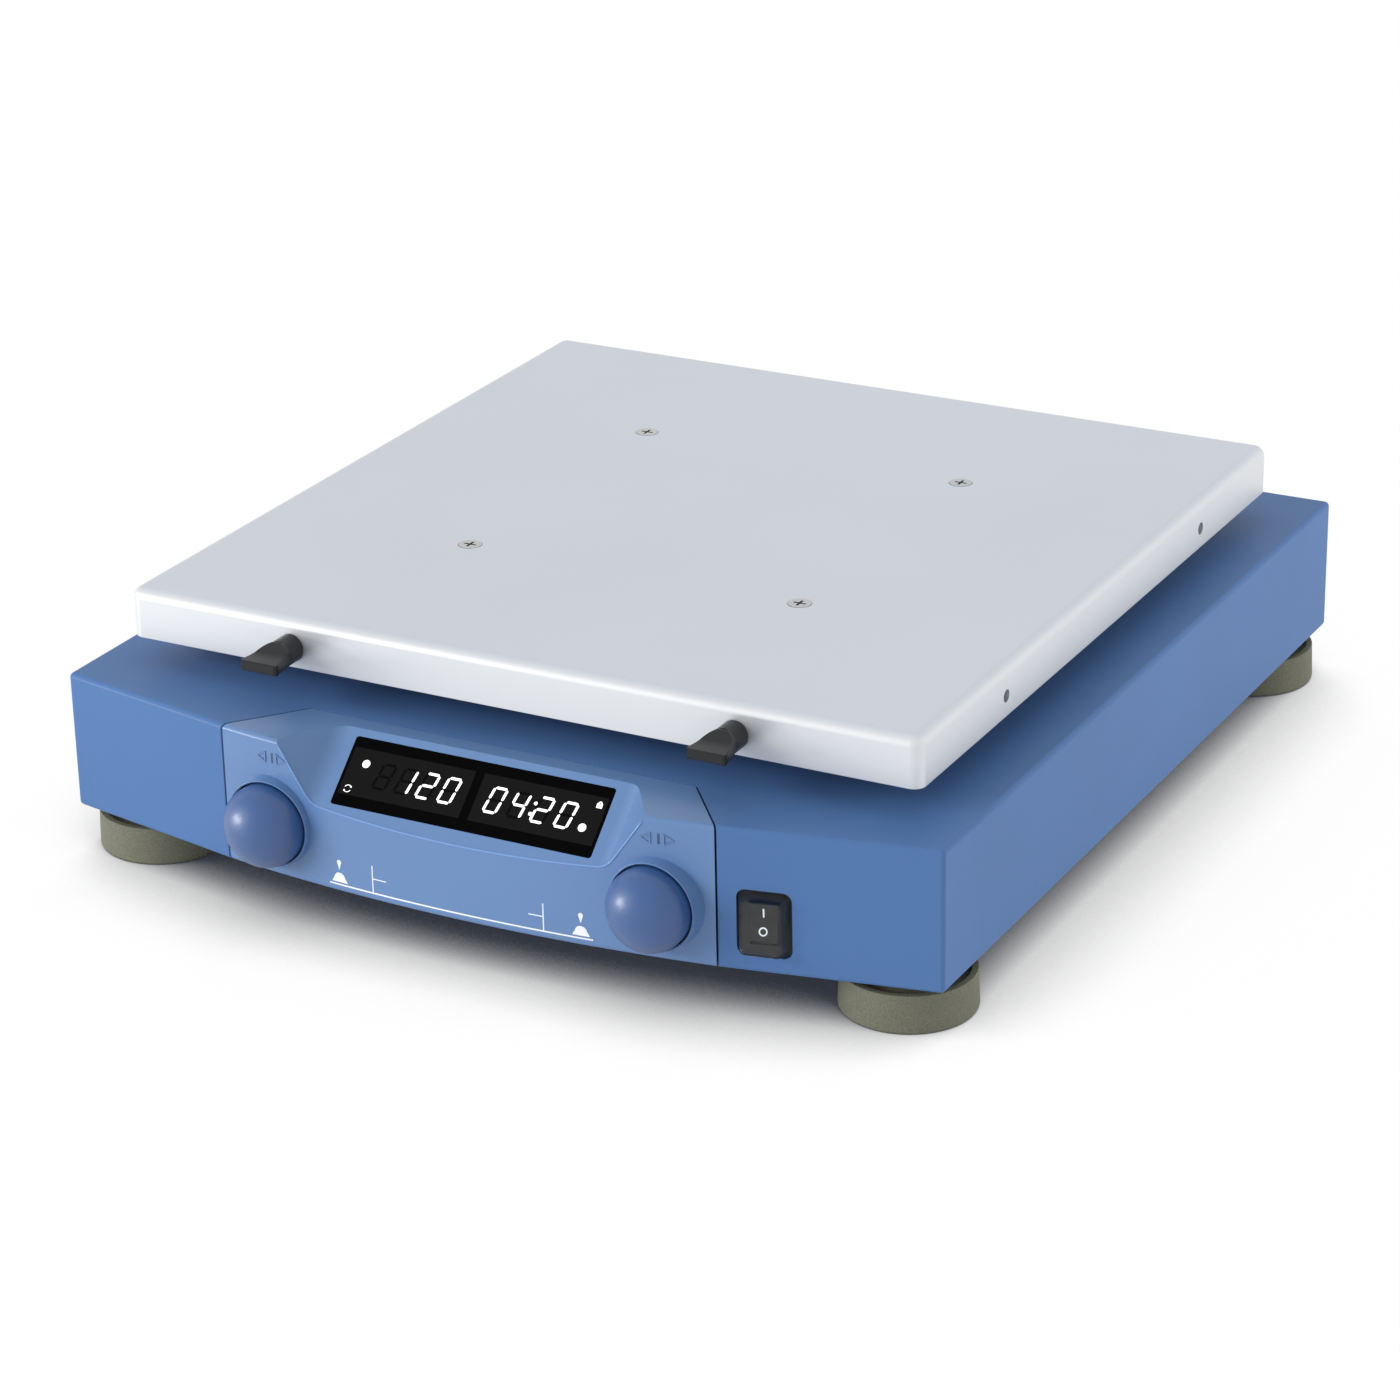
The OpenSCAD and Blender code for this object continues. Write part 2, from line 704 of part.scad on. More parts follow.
module switch_frame() color("black") at_switch() difference() {
    union() {
        translate([0, frame_sunk, 0]) rotate([-90, 0, 0]) linear_extrude(wall - frame_sunk)
            rounded_rect(switch_w - 2 * loose_gap, switch_h - 2 * loose_gap, switch_corner - loose_gap);
        translate([0, wall, 0]) rotate([-90, 0, 0]) linear_extrude(frame_t)
            rounded_rect(switch_w + 2 * frame_lip, switch_h + 2 * frame_lip, switch_corner + 0.5);
        translate([0, wall + frame_t, 0]) rotate([-90, 0, 0]) linear_extrude(switch_depth - wall - frame_t)
            square(2 * [rocker_half_w + frame_side, rocker_half_h + frame_side], center = true);
    }
    translate([0, -over, 0]) rotate([-90, 0, 0]) linear_extrude(switch_depth - frame_t + over)
        square(2 * [rocker_half_w + slide_gap, rocker_half_h + rocker_sweep], center = true);
    translate([0, frame_sunk + rocker_pivot, 0]) rotate([0, 90, 0])
        cylinder(r = pivot_r + running_fit, h = 2 * (rocker_half_w + pivot_len + slide_gap), center = true);
}

// The rocker in side view: a shallow V in front and an arc round its pivot behind
module power_rocker() color("black") at_switch()
    translate([0, frame_sunk + rocker_pivot, 0]) rotate([-rocker_swing / 2, 0, 0]) {
        rotate([90, 0, 90]) linear_extrude(2 * rocker_half_w, center = true) polygon(concat(
            [[-rocker_pivot - rocker_crease, 0],
             [-rocker_pivot - rocker_proud, rocker_half_h - rocker_lean],
             [-rocker_shoulder, rocker_half_h]],
            arc([0, 0], rocker_back, 60, -60, 12),
            [[-rocker_shoulder, -rocker_half_h],
             [-rocker_pivot - rocker_proud, rocker_lean - rocker_half_h]]));
        rotate([0, 90, 0]) cylinder(r = pivot_r, h = 2 * (rocker_half_w + pivot_len), center = true);
    }

// A clear cap over the rocker, open at the back, with sides that lean inwards
boot_rise = 5.8;
boot_skin = 0.6;
boot_in = 1;
boot_foot_r = 3.2;
boot_top_r = 1.8;
module boot_shape(shrink, low) hull() for (x = [-1, 1], z = [-1, 1])
    translate([x * (switch_w / 2 - boot_in - boot_foot_r), frame_sunk - low,
               z * (switch_h / 2 - boot_in - boot_foot_r)])
    rotate([90, 0, 0]) cylinder(r1 = boot_foot_r - shrink, r2 = boot_top_r - shrink,
                                h = boot_rise - shrink - low, $fn = 32);
module switch_boot() color("white", 0.35) at_switch() difference() {
    boot_shape(0, 0);
    boot_shape(boot_skin, -over);
}

// Rear sockets

inlet_w = 28;
inlet_h = 40;
inlet_t = 2.5;
inlet_body_h = 34;
inlet_corner = 1.75;
inlet_ear = 8;
inlet_screw_x = inlet_w / 2 + inlet_ear / 2;
inlet_depth = drawer_depth + 3;
cup_w = 24;
cup_h = 16.4;
cup_cut = 4.5;
cup_depth = 17;
cup_z = 8.5;
pin_w = 2;
pin_h = 4;
pin_len = 12;
pin_places = [[-7, -2], [7, -2], [0, 2]];
drawer_w = 21;
drawer_h = 9;
drawer_z = -10;
drawer_skin = 1.5;
drawer_rim = 1;
fuse_r = 2.6;
fuse_len = 20;
fuse_cap = 5;

module inlet_cut() translate([0, over, 0]) rotate([90, 0, 0]) {
    linear_extrude(wall + 3 * over)
        rounded_rect(inlet_w + 2 * loose_gap, inlet_body_h + 2 * loose_gap, inlet_corner + loose_gap);
    for (x = [-1, 1]) translate([x * inlet_screw_x, 0, 0]) cylinder(r = m3_r, h = wall + 3 * over);
}

function cup(w, h, cut) = [
    [-w / 2, -h / 2], [w / 2, -h / 2], [w / 2, h / 2 - cut],
    [w / 2 - cut, h / 2], [cut - w / 2, h / 2], [-w / 2, h / 2 - cut]
];

module mains_inlet() color("dimgray") at_rear(inlet_x) difference() {
    union() {
        rotate([-90, 0, 0]) linear_extrude(inlet_t) rounded_rect(inlet_w + 2 * inlet_ear, inlet_h, 4);
        rotate([90, 0, 0]) linear_extrude(inlet_depth) rounded_rect(inlet_w, inlet_body_h, inlet_corner);
    }
    translate([0, inlet_t - cup_depth, cup_z]) rotate([-90, 0, 0]) mirror([0, 1, 0])
        linear_extrude(cup_depth + over) polygon(cup(cup_w, cup_h, cup_cut));
    translate([-drawer_w / 2 - slide_gap, -drawer_depth - slide_gap, drawer_z - drawer_h / 2 - slide_gap])
        cube([drawer_w + 2 * slide_gap, 2 * drawer_depth, drawer_h + 2 * slide_gap]);
    for (x = [-1, 1]) translate([x * inlet_screw_x, -over, 0]) rotate([-90, 0, 0])
        cylinder(r = m3_r + hole_gap, h = inlet_t + 2 * over);
}

module inlet_pins() color("silver") at_rear(inlet_x) translate([0, inlet_t - cup_depth, cup_z])
    for (p = pin_places) translate([p.x - pin_w / 2, 0, p.y - pin_h / 2]) cube([pin_w, pin_len, pin_h]);

module inlet_screws() color("silver") at_rear(inlet_x) for (x = [-1, 1])
    translate([x * inlet_screw_x, inlet_t, 0]) rotate([90, 0, 0]) pan_screw(m3_r, wall + panel_grip);

module fuse_drawer() color("black") at_rear(inlet_x) difference() {
    union() {
        translate([-drawer_w / 2, -drawer_depth, drawer_z - drawer_h / 2])
            cube([drawer_w, drawer_depth + inlet_t + slide_gap + drawer_skin, drawer_h]);
        translate([-drawer_w / 2 - drawer_rim, inlet_t + slide_gap, drawer_z - drawer_h / 2 - drawer_rim])
            cube([drawer_w + 2 * drawer_rim, drawer_skin, drawer_h + 2 * drawer_rim]);
    }
    translate([drawer_skin - drawer_w / 2, drawer_skin - drawer_depth,
               drawer_z - drawer_h / 2 + drawer_skin])
        cube([drawer_w - 2 * drawer_skin, drawer_depth - 2 * drawer_skin, drawer_h]);
}

// A glass fuse with a metal cap at each end, lying on the drawer's floor
module fuse_link() color("white") at_rear(inlet_x)
    translate([0, -drawer_depth / 2, drawer_z - drawer_h / 2 + drawer_skin + fuse_r]) rotate([90, 0, 0]) {
        cylinder(r = fuse_r - 0.2, h = fuse_len, center = true);
        for (s = [-1, 1]) translate([0, 0, s * (fuse_len - fuse_cap) / 2])
            cylinder(r = fuse_r, h = fuse_cap, center = true);
    }

socket_w = 31;
socket_h = 12.5;
shell_w = 17;
shell_h = 8.4;
shell_lean = 1.2;
flange_skin = 1;
socket_body = [18, 11];
socket_depth = 9;
contact_pitch = 2.77;
contact_row = 1.4;
contact_r = 0.5;
contact_depth = 6;
socket_screw = 12.5;
post_r = 2.7;
post_reach = 5;
post_bore_r = 1.25;

module d_outline(grow) polygon([
    [-shell_w / 2 - grow, shell_h / 2 + grow], [shell_lean - shell_w / 2 - grow, -shell_h / 2 - grow],
    [shell_w / 2 - shell_lean + grow, -shell_h / 2 - grow], [shell_w / 2 + grow, shell_h / 2 + grow]
]);

module socket_cut() {
    translate([0, over, 0]) rotate([90, 0, 0]) linear_extrude(wall + 3 * over) d_outline(1);
    for (x = [-1, 1]) translate([x * socket_screw, over, 0]) rotate([90, 0, 0])
        cylinder(r = m3_r + hole_gap, h = wall + 3 * over);
}

module data_socket() color("silver") at_rear(socket_x) difference() {
    union() {
        translate([0, socket_reach, 0]) rotate([90, 0, 0])
            linear_extrude(socket_reach + wall) d_outline(0.5);
        translate([0, -wall, 0]) rotate([90, 0, 0]) linear_extrude(flange_skin)
            square([socket_w, socket_h], center = true);
        translate([0, -wall - flange_skin, 0]) rotate([90, 0, 0]) linear_extrude(socket_depth)
            square(socket_body, center = true);
    }
    for (row = [[5, 1], [4, -1]]) for (i = [0:row[0] - 1])
        translate([(i - (row[0] - 1) / 2) * contact_pitch, socket_reach + over, row[1] * contact_row])
        rotate([90, 0, 0]) cylinder(r = contact_r, h = contact_depth, $fn = 16);
    for (x = [-1, 1]) translate([x * socket_screw, 0, 0]) rotate([90, 0, 0])
        cylinder(r = m3_r, h = wall + flange_skin + socket_depth);
}

module data_socket_posts() color("silver") at_rear(socket_x) for (x = [-1, 1])
    translate([x * socket_screw, 0, 0]) rotate([-90, 0, 0]) difference() {
        union() {
            cylinder(r = post_r, h = post_reach, $fn = 6);
            translate([0, 0, -wall - flange_skin])
                cylinder(r = m3_r - thread_gap, h = wall + flange_skin + over);
        }
        translate([0, 0, over]) cylinder(r = post_bore_r, h = post_reach);
    }

// Motor and belt

module motor_body() color("dimgray") at_drive() translate([0, motor_y, 0]) difference() {
    union() {
        translate([0, 0, base_top]) cylinder(r = motor_r - 4, h = motor_lift + over);
        translate([0, 0, base_top + motor_lift])
            cylinder(r = motor_r, h = motor_plate_top - motor_plate_t - base_top - motor_lift);
        translate([0, 0, motor_plate_top - motor_plate_t - over])
            cylinder(r = motor_pilot_r, h = motor_plate_t);
    }
    translate([0, 0, base_top + motor_floor]) cylinder(r = motor_shaft_r + running_fit, h = body_h);
}

module motor_bracket() color("silver") at_drive() translate([0, motor_y, motor_plate_top - motor_plate_t])
    difference() {
        linear_extrude(motor_plate_t)
            rounded_rect(2 * motor_plate_half, 2 * motor_plate_half, motor_post_in);
        translate([0, 0, -over]) {
            cylinder(r = motor_pilot_r + hole_gap, h = motor_plate_t + 2 * over);
            for (a = [45:90:315]) rotate([0, 0, a]) translate([motor_r - 8, 0, 0])
                cylinder(r = m4_r, h = motor_plate_t + 2 * over);
            spots(motor_posts) cylinder(r = m4_r + hole_gap, h = motor_plate_t + 2 * over);
        }
    }

module motor_posts() color("silver") at_drive() translate([0, motor_y, 0]) spots(motor_posts) {
    translate([0, 0, base_top]) cylinder(r = 4, h = motor_plate_top - motor_plate_t - base_top, $fn = 6);
    translate([0, 0, base_z]) pan_screw(m4_r, base_t + over);
    translate([0, 0, motor_plate_top]) mirror([0, 0, 1]) pan_screw(m4_r, motor_plate_t + over);
}

module motor_shaft() color("silver") at_drive()
    translate([0, motor_y, base_top + motor_floor + slide_gap])
    cylinder(r = motor_shaft_r, h = pulley_top - base_top - motor_floor);

// A flat pulley with two flanges; the belt runs between them
module pulley(r, bore, hub_r, hub_low, hub_top) difference() {
    union() {
        translate([0, 0, pulley_low]) cylinder(r = r + belt_t + flange_reach, h = flange_t);
        translate([0, 0, pulley_low]) cylinder(r = r, h = pulley_top - pulley_low, $fn = 96);
        translate([0, 0, pulley_top - flange_t]) cylinder(r = r + belt_t + flange_reach, h = flange_t);
        translate([0, 0, hub_low]) cylinder(r = hub_r, h = hub_top - hub_low);
    }
    translate([0, 0, hub_low - over]) cylinder(r = bore + thread_gap, h = hub_top - hub_low + 2 * over);
}

module motor_pulley() color("silver") at_drive() translate([0, motor_y, 0])
    pulley(motor_pulley_r, motor_shaft_r, 2 * motor_shaft_r, pulley_low - 0.5, pulley_top);

// The driven pulley is a dished wheel with six holes in its web
web_t = 4;
web_hole_in = 7;
module drive_pulley() color("silver") at_drive() difference() {
    pulley(pulley_r, drive_pin_r, pulley_hub_r, drive_block_top + slide_gap, weight_low);
    for (a = [0:60:300]) rotate([0, 0, a]) translate([(pulley_r + pulley_hub_r) / 2, 0, pulley_low - over])
        cylinder(r = (pulley_r - pulley_hub_r) / 2 - web_hole_in, h = belt_w);
    translate([0, 0, pulley_low + web_t]) ring(pulley_r - rim_t, pulley_hub_r, belt_w);
}

// The belt in plan: two arcs and the straight runs that touch them both
module belt_outline(grow) {
    ra = pulley_r + slide_gap + grow;
    rb = motor_pulley_r + slide_gap + grow;
    lean = asin((ra - rb) / motor_y);
    circle(r = ra, $fn = 96);
    translate([0, motor_y]) circle(r = rb);
    polygon([
        ra * [cos(lean), sin(lean)], [0, motor_y] + rb * [cos(lean), sin(lean)],
        [0, motor_y] + rb * [-cos(lean), sin(lean)], ra * [-cos(lean), sin(lean)]
    ]);
}

module drive_belt() color("black") at_drive() translate([0, 0, belt_low + slide_gap])
    linear_extrude(belt_w - 2 * slide_gap) difference() {
        belt_outline(belt_t);
        belt_outline(0);
    }

// Bearings and their blocks

module bearing_block(r, flange, od, width, top) difference() {
    union() {
        translate([0, 0, base_top]) cylinder(r = flange, h = block_flange_t);
        translate([0, 0, base_top]) cylinder(r = r, h = top - base_top);
    }
    translate([0, 0, base_top + block_floor]) cylinder(r = od / 2 - seat_step, h = top);
    translate([0, 0, base_top + block_floor]) cylinder(r = od / 2 + thread_gap, h = width + over);
    translate([0, 0, top - width - race_sunk]) cylinder(r = od / 2 + thread_gap, h = width + over);
}

function ring_spots(centre, r, count) = [
    for (i = [0:count - 1]) centre + r * [cos(45 + i * 360 / count), sin(45 + i * 360 / count)]
];
function block_screw_spots() = concat(
    ring_spots([0, 0], (drive_block_r + drive_flange_r) / 2, 4),
    [for (c = guide_corners) each ring_spots(c, (guide_block_r + guide_flange_r) / 2, 3)]);

module block_tapped_holes() spots(block_screw_spots())
    translate([0, 0, base_top - over]) cylinder(r = m5_r, h = block_flange_t + 2 * over);

module drive_bearing_block() color("silver") at_drive() difference() {
    bearing_block(drive_block_r, drive_flange_r, drive_od, drive_width, drive_block_top);
    block_tapped_holes();
}

module guide_bearing_blocks() color("silver") at_drive() difference() {
    spots(guide_corners)
        bearing_block(guide_block_r, guide_flange_r, guide_od, guide_width, guide_block_top);
    block_tapped_holes();
}

module bearing_pair(bore, od, width, top) {
    translate([0, 0, base_top + block_floor]) bearing(bore, od, width);
    translate([0, 0, top - width - race_sunk]) bearing(bore, od, width);
}

module drive_bearings() color("lightgray") at_drive()
    bearing_pair(drive_bore, drive_od, drive_width, drive_block_top);

module guide_bearings() color("lightgray") at_drive() spots(guide_corners)
    bearing_pair(guide_bore, guide_od, guide_width, guide_block_top);

module block_screws() color("silver") at_drive() spots(block_screw_spots())
    translate([0, 0, base_z]) pan_screw(m5_r, base_t + block_flange_t);

// Electronics

module board(side) translate([side * board_x, 0, base_top + post_h]) difference() {
    translate([-board_w / 2, -board_d / 2, 0]) cube([board_w, board_d, board_t]);
    translate([0, 0, -over]) spots(board_posts) cylinder(r = m3_r + hole_gap, h = board_t + 2 * over);
}

// A transformer with its core and winding, two smoothing capacitors and a mains filter
core_w = 38;
core_d = 34;
core_h = 22;
winding_h = 28;
winding_side = 6;
filter_size = [20, 30, 12];
cap_r = 9;
cap_h = 25;
module power_supply_board() color("darkgreen") at_drive() {
    board(-1);
    translate([-board_x, 0, base_top + post_h + board_t]) {
        translate([0, board_d / 4, 0]) linear_extrude(core_h) square([core_w, core_d], center = true);
        translate([0, board_d / 4, 0]) linear_extrude(winding_h)
            rounded_rect(core_w - 2 * winding_side, core_d, winding_side);
        for (y = [1, 2]) translate([board_w / 5, -y * (cap_r + 1) * 2 + cap_r, 0])
            cylinder(r = cap_r, h = cap_h);
        translate([-board_w / 2 + 2 * post_in, -board_d / 2 + 2 * post_in, 0]) cube(filter_size);
    }
}

// The motor's power stage: a finned heat sink, its controller chip and a capacitor
sink_t = 4;
sink_h = 22;
fin_t = 2;
fin_reach = 9;
fin_pitch = 8;
fin_count = 9;
module motor_driver_board() color("darkgreen") at_drive() {
    board(1);
    translate([board_x, 0, base_top + post_h + board_t]) {
        translate([-board_w / 4 - sink_t, -fin_count * fin_pitch / 2, 0])
            cube([sink_t, (fin_count - 1) * fin_pitch + fin_t, sink_h]);
        for (i = [0:fin_count - 1])
            translate([-board_w / 4 - sink_t - fin_reach, (i - fin_count / 2) * fin_pitch, 0])
            cube([fin_reach + sink_t / 2, fin_t, sink_h]);
        translate([0, -2 * chip_w, 0]) cube([chip_w, chip_w, chip_t]);
        translate([board_w / 5, board_d / 4, 0]) cylinder(r = cap_r - 2, h = cap_h - cap_r);
    }
}

module board_posts() color("silver") at_drive() for (side = [-1, 1])
    translate([side * board_x, 0, 0]) spots(board_posts) {
        translate([0, 0, base_top]) cylinder(r = 3, h = post_h, $fn = 6);
        translate([0, 0, base_z]) pan_screw(m3_r, base_t + over);
        translate([0, 0, base_top + post_h + board_t]) mirror([0, 0, 1])
            pan_screw(m3_r, board_t + over);
    }

// Cranks: a journal on the fixed axis, a head, and a pin one throw towards the front

shoulder = 2;
pin_end = 1;
module crank(pin_r, head_r, low, head_from, pin_top) {
    translate([0, 0, low]) cylinder(r = pin_r, h = head_from - low);
    translate([0, 0, head_from]) cylinder(r = head_r, h = head_top - head_from);
    translate([0, -orbit_r, head_top]) cylinder(r = pin_r + shoulder, h = race_low - head_top);
    translate([0, -orbit_r, head_top]) cylinder(r = pin_r, h = pin_top - head_top);
}

// A cap that turns with a crank and covers the collar round its opening
module splash_cap(bore, head_r) translate([0, 0, top_z]) difference() {
    inner = head_r + head_gap + collar_t + cap_gap;
    translate([0, 0, cap_low]) cylinder(r = inner + cap_skin, h = cap_rise + cap_t - cap_low);
    cylinder(r = inner, h = cap_rise);
    cylinder(r = bore, h = 2 * (cap_rise + cap_t));
}

module drive_shaft() color("silver") at_drive()
    crank(drive_pin_r, drive_head_r, base_top + block_floor, head_low, race_low + drive_width + pin_end);

module drive_splash_cap() color("dimgray") at_drive()
    splash_cap(drive_head_r + thread_gap, drive_head_r);

// A half disc on the side away from the pin
weight_start = 2;
module counterweight() color("silver") at_drive() translate([0, 0, weight_low]) difference() {
    union() {
        cylinder(r = pulley_hub_r, h = weight_t);
        intersection() {
            cylinder(r = weight_r, h = weight_t, $fn = 96);
            translate([-weight_r, weight_start, 0]) cube([2 * weight_r, weight_r, weight_t]);
        }
    }
    translate([0, 0, -over]) cylinder(r = drive_pin_r + thread_gap, h = weight_t + 2 * over);
}

module guide_crank(x, y) color("silver") at_drive() translate([x * guide_x, y * guide_x, 0]) {
    crank(guide_pin_r, guide_head_r, base_top + block_floor, guide_head_low,
          race_low + guide_width + pin_end);
    splash_cap(guide_head_r + thread_gap, guide_head_r);
}
module guide_crank_front_left() guide_crank(-1, -1);
module guide_crank_front_right() guide_crank(1, -1);
module guide_crank_rear_left() guide_crank(-1, 1);
module guide_crank_rear_right() guide_crank(1, 1);

// Tray and its carrier

module carrier_seats() {
    translate([0, 0, boss_low - over]) {
        cylinder(r = drive_od / 2 + thread_gap, h = race_low + drive_width - boss_low + over);
        cylinder(r = drive_od / 2 - seat_step, h = tray_top - boss_low);
    }
    spots(guide_corners) translate([0, 0, boss_low - over]) {
        cylinder(r = guide_od / 2 + thread_gap, h = race_low + guide_width - boss_low + over);
        cylinder(r = guide_od / 2 - seat_step, h = tray_top - boss_low);
    }
}

// A cast cross: each arm is a channel, open below, that narrows towards its bearing
arm_outline = [[0, -arm_hub_half], [guide_x * sqrt(2), -arm_end_half],
               [guide_x * sqrt(2), arm_end_half], [0, arm_hub_half]];
module tray_carrier() color("silver") at_tray() difference() {
    union() {
        difference() {
            for (a = [45:90:315]) rotate([0, 0, a]) slab(arm_outline, tray_under - arm_h, tray_under);
            for (a = [45:90:315]) rotate([0, 0, a])
                slab(inset(arm_outline, arm_wall), tray_under - arm_h - over, tray_under - carrier_t);
        }
        translate([0, 0, boss_low]) cylinder(r = hub_r, h = tray_under - boss_low);
        spots(guide_corners) translate([0, 0, boss_low]) cylinder(r = pad_r, h = tray_under - boss_low);
        spots(tray_screws) translate([0, 0, tray_under - arm_h]) cylinder(r = screw_boss_r, h = arm_h);
    }
    carrier_seats();
    spots(tray_screws) translate([0, 0, boss_low]) cylinder(r = m5_r, h = tray_top - boss_low);
}

module carrier_bearings() color("lightgray") at_tray() translate([0, 0, race_low]) {
    bearing(drive_bore, drive_od, drive_width);
    spots(guide_corners) bearing(guide_bore, guide_od, guide_width);
}

screw_head_r = 4.6;
screw_sink = screw_head_r - m5_r;
recess_reach = 2.6;
recess_w = 1;
recess_depth = 1.3;
module tray() color("gainsboro") at_tray() difference() {
    tray_block(0, fold_r, skirt_low);
    tray_block(tray_t, fold_r - tray_t, skirt_low - over);
    spots(tray_screws) {
        translate([0, 0, tray_under - over]) cylinder(r = m5_r + hole_gap, h = tray_t + 2 * over);
        translate([0, 0, tray_top - screw_sink - hole_gap])
            cylinder(r1 = m5_r + hole_gap, r2 = screw_head_r + 2 * hole_gap, h = screw_sink + 2 * hole_gap);
    }
    each_skirt_side() for (x = [-1, 1])
        translate([x * skirt_hole, -tray_half - over, skirt_hole_z])
        rotate([-90, 0, 0]) cylinder(r = skirt_hole_r, h = tray_t + 2 * over);
}
module tray_block(shrink, r, low) translate([0, 0, low]) hull()
    for (x = [-1, 1], y = [-1, 1]) translate([x, y, 0] * (tray_half - shrink - max(r, 0.5)))
    rounded_post(max(r, 0.5), tray_top - shrink - low, false);

module tray_screws() color("silver") at_tray() spots(tray_screws) difference() {
    union() {
        translate([0, 0, tray_under - arm_h])
            cylinder(r = m5_r - thread_gap, h = arm_h + tray_t - screw_sink);
        translate([0, 0, tray_top - screw_sink])
            cylinder(r1 = m5_r - thread_gap, r2 = screw_head_r, h = screw_sink);
    }
    for (a = [0, 90]) rotate([0, 0, a]) translate([0, 0, tray_top])
        cube([2 * recess_reach, recess_w, 2 * recess_depth], center = true);
}

nut_t = 4;
nut_across_r = 5.2;
module skirt_nuts() color("silver") at_tray() each_skirt_side() for (x = [-1, 1])
    translate([x * skirt_hole, tray_t - tray_half, skirt_hole_z]) rotate([-90, 0, 0])
    difference() {
        cylinder(r = nut_across_r, h = nut_t, $fn = 6);
        translate([0, 0, -over]) cylinder(r = skirt_hole_r, h = nut_t + 2 * over);
    }

// A thumb screw: a round hub that flares into a flat fishtail blade.
// The blade is what two outlines, at right angles, and a cone have in common.
thumb_hub_r = 5.5;
thumb_hub_h = 8;
thumb_start = 2;
thumb_end = 23;
thumb_cone = [4.3, 8.3];
thumb_plan = [[0, thumb_start], [5.5, thumb_start], [5.3, 10], [5.7, 13], [6.7, 17], [7.8, 20.8],
              [7.8, 22.2], [7, thumb_end], [0, thumb_end]];
thumb_side = [[0, thumb_start], [5.5, thumb_start], [5.2, 9.5], [4, 12], [2.6, 15], [2.2, 18],
              [2.1, 22.3], [1.6, thumb_end], [0, thumb_end]];
module both_sides(outline) {
    polygon(outline);
    mirror([1, 0]) polygon(outline);
}
module thumb_screw(side) color("black") at_tray()
    translate([side * skirt_hole, -tray_half, skirt_hole_z]) rotate([90, 0, 0]) {
        translate([0, 0, -tray_t - nut_t - over])
            cylinder(r = skirt_hole_r - running_fit, h = tray_t + nut_t + 2 * over);
        translate([0, 0, slide_gap]) cylinder(r = thumb_hub_r, h = thumb_hub_h);
        intersection() {
            rotate([90, 0, 0]) linear_extrude(3 * thumb_hub_r, center = true) both_sides(thumb_plan);
            rotate([90, 0, 90]) linear_extrude(3 * thumb_hub_r, center = true) both_sides(thumb_side);
            translate([0, 0, thumb_start])
                cylinder(r1 = thumb_cone[0], r2 = thumb_cone[1], h = thumb_end - thumb_start);
        }
    }
module thumb_screw_left() thumb_screw(-1);
module thumb_screw_right() thumb_screw(1);

housing_shell();
base_plate();
base_plate_screws();
rubber_feet();
foot_screws();
control_panel();
panel_screws();
display_window();
display_board();
control_board();
speed_encoder();
timer_encoder();
switch_frame();
switch_boot();
mains_inlet();
inlet_pins();
inlet_screws();
data_socket();
data_socket_posts();
motor_body();
motor_bracket();
motor_posts();
drive_belt();
drive_bearing_block();
drive_bearings();
guide_bearing_blocks();
guide_bearings();
block_screws();
power_supply_board();
motor_driver_board();
board_posts();
drive_shaft();
drive_pulley();
counterweight();
drive_splash_cap();
motor_shaft();
motor_pulley();
guide_crank_front_left();
guide_crank_front_right();
guide_crank_rear_left();
guide_crank_rear_right();
tray_carrier();
carrier_bearings();
tray();
tray_screws();
skirt_nuts();
thumb_screw_left();
thumb_screw_right();
speed_plunger();
speed_stem();
speed_knob();
timer_plunger();
timer_stem();
timer_knob();
power_rocker();
fuse_drawer();
fuse_link();
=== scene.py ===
import json
import math

import bmesh
import bpy
from mathutils import Matrix, Vector


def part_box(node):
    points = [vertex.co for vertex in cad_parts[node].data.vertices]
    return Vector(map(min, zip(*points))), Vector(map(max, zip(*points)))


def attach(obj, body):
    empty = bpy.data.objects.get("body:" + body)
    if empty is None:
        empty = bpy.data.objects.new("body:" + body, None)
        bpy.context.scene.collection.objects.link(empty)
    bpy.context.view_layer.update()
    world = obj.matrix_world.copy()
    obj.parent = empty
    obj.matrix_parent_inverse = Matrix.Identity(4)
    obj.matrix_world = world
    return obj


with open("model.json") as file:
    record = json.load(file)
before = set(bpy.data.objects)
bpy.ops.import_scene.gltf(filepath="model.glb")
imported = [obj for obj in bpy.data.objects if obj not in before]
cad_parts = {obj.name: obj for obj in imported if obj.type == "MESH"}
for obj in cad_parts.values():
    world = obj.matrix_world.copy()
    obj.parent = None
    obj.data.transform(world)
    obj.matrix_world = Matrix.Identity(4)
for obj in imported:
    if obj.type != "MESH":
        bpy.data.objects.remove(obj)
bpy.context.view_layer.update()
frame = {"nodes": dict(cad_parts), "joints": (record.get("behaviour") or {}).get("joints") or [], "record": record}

# Orbital shaker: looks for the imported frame. Every length is in metres.

NODES = frame["nodes"]
JOINTS = {joint["name"]: joint for joint in frame["joints"]}
MM = 0.001

# Camera, as in the photograph: its place is taken from the foot of the housing's rear face
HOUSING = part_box("housing_shell")
CAMERA_PLACE = Vector((0, HOUSING[1].y, 0)) + Vector((0.74256, -1.5839, 0.69958))
CAMERA_AZIMUTH = math.radians(28.473)
CAMERA_ELEVATION = math.radians(23.18)
CAMERA_ROLL = math.radians(-1.165)
CAMERA_LENS = 108.99
SENSOR_WIDTH = 36

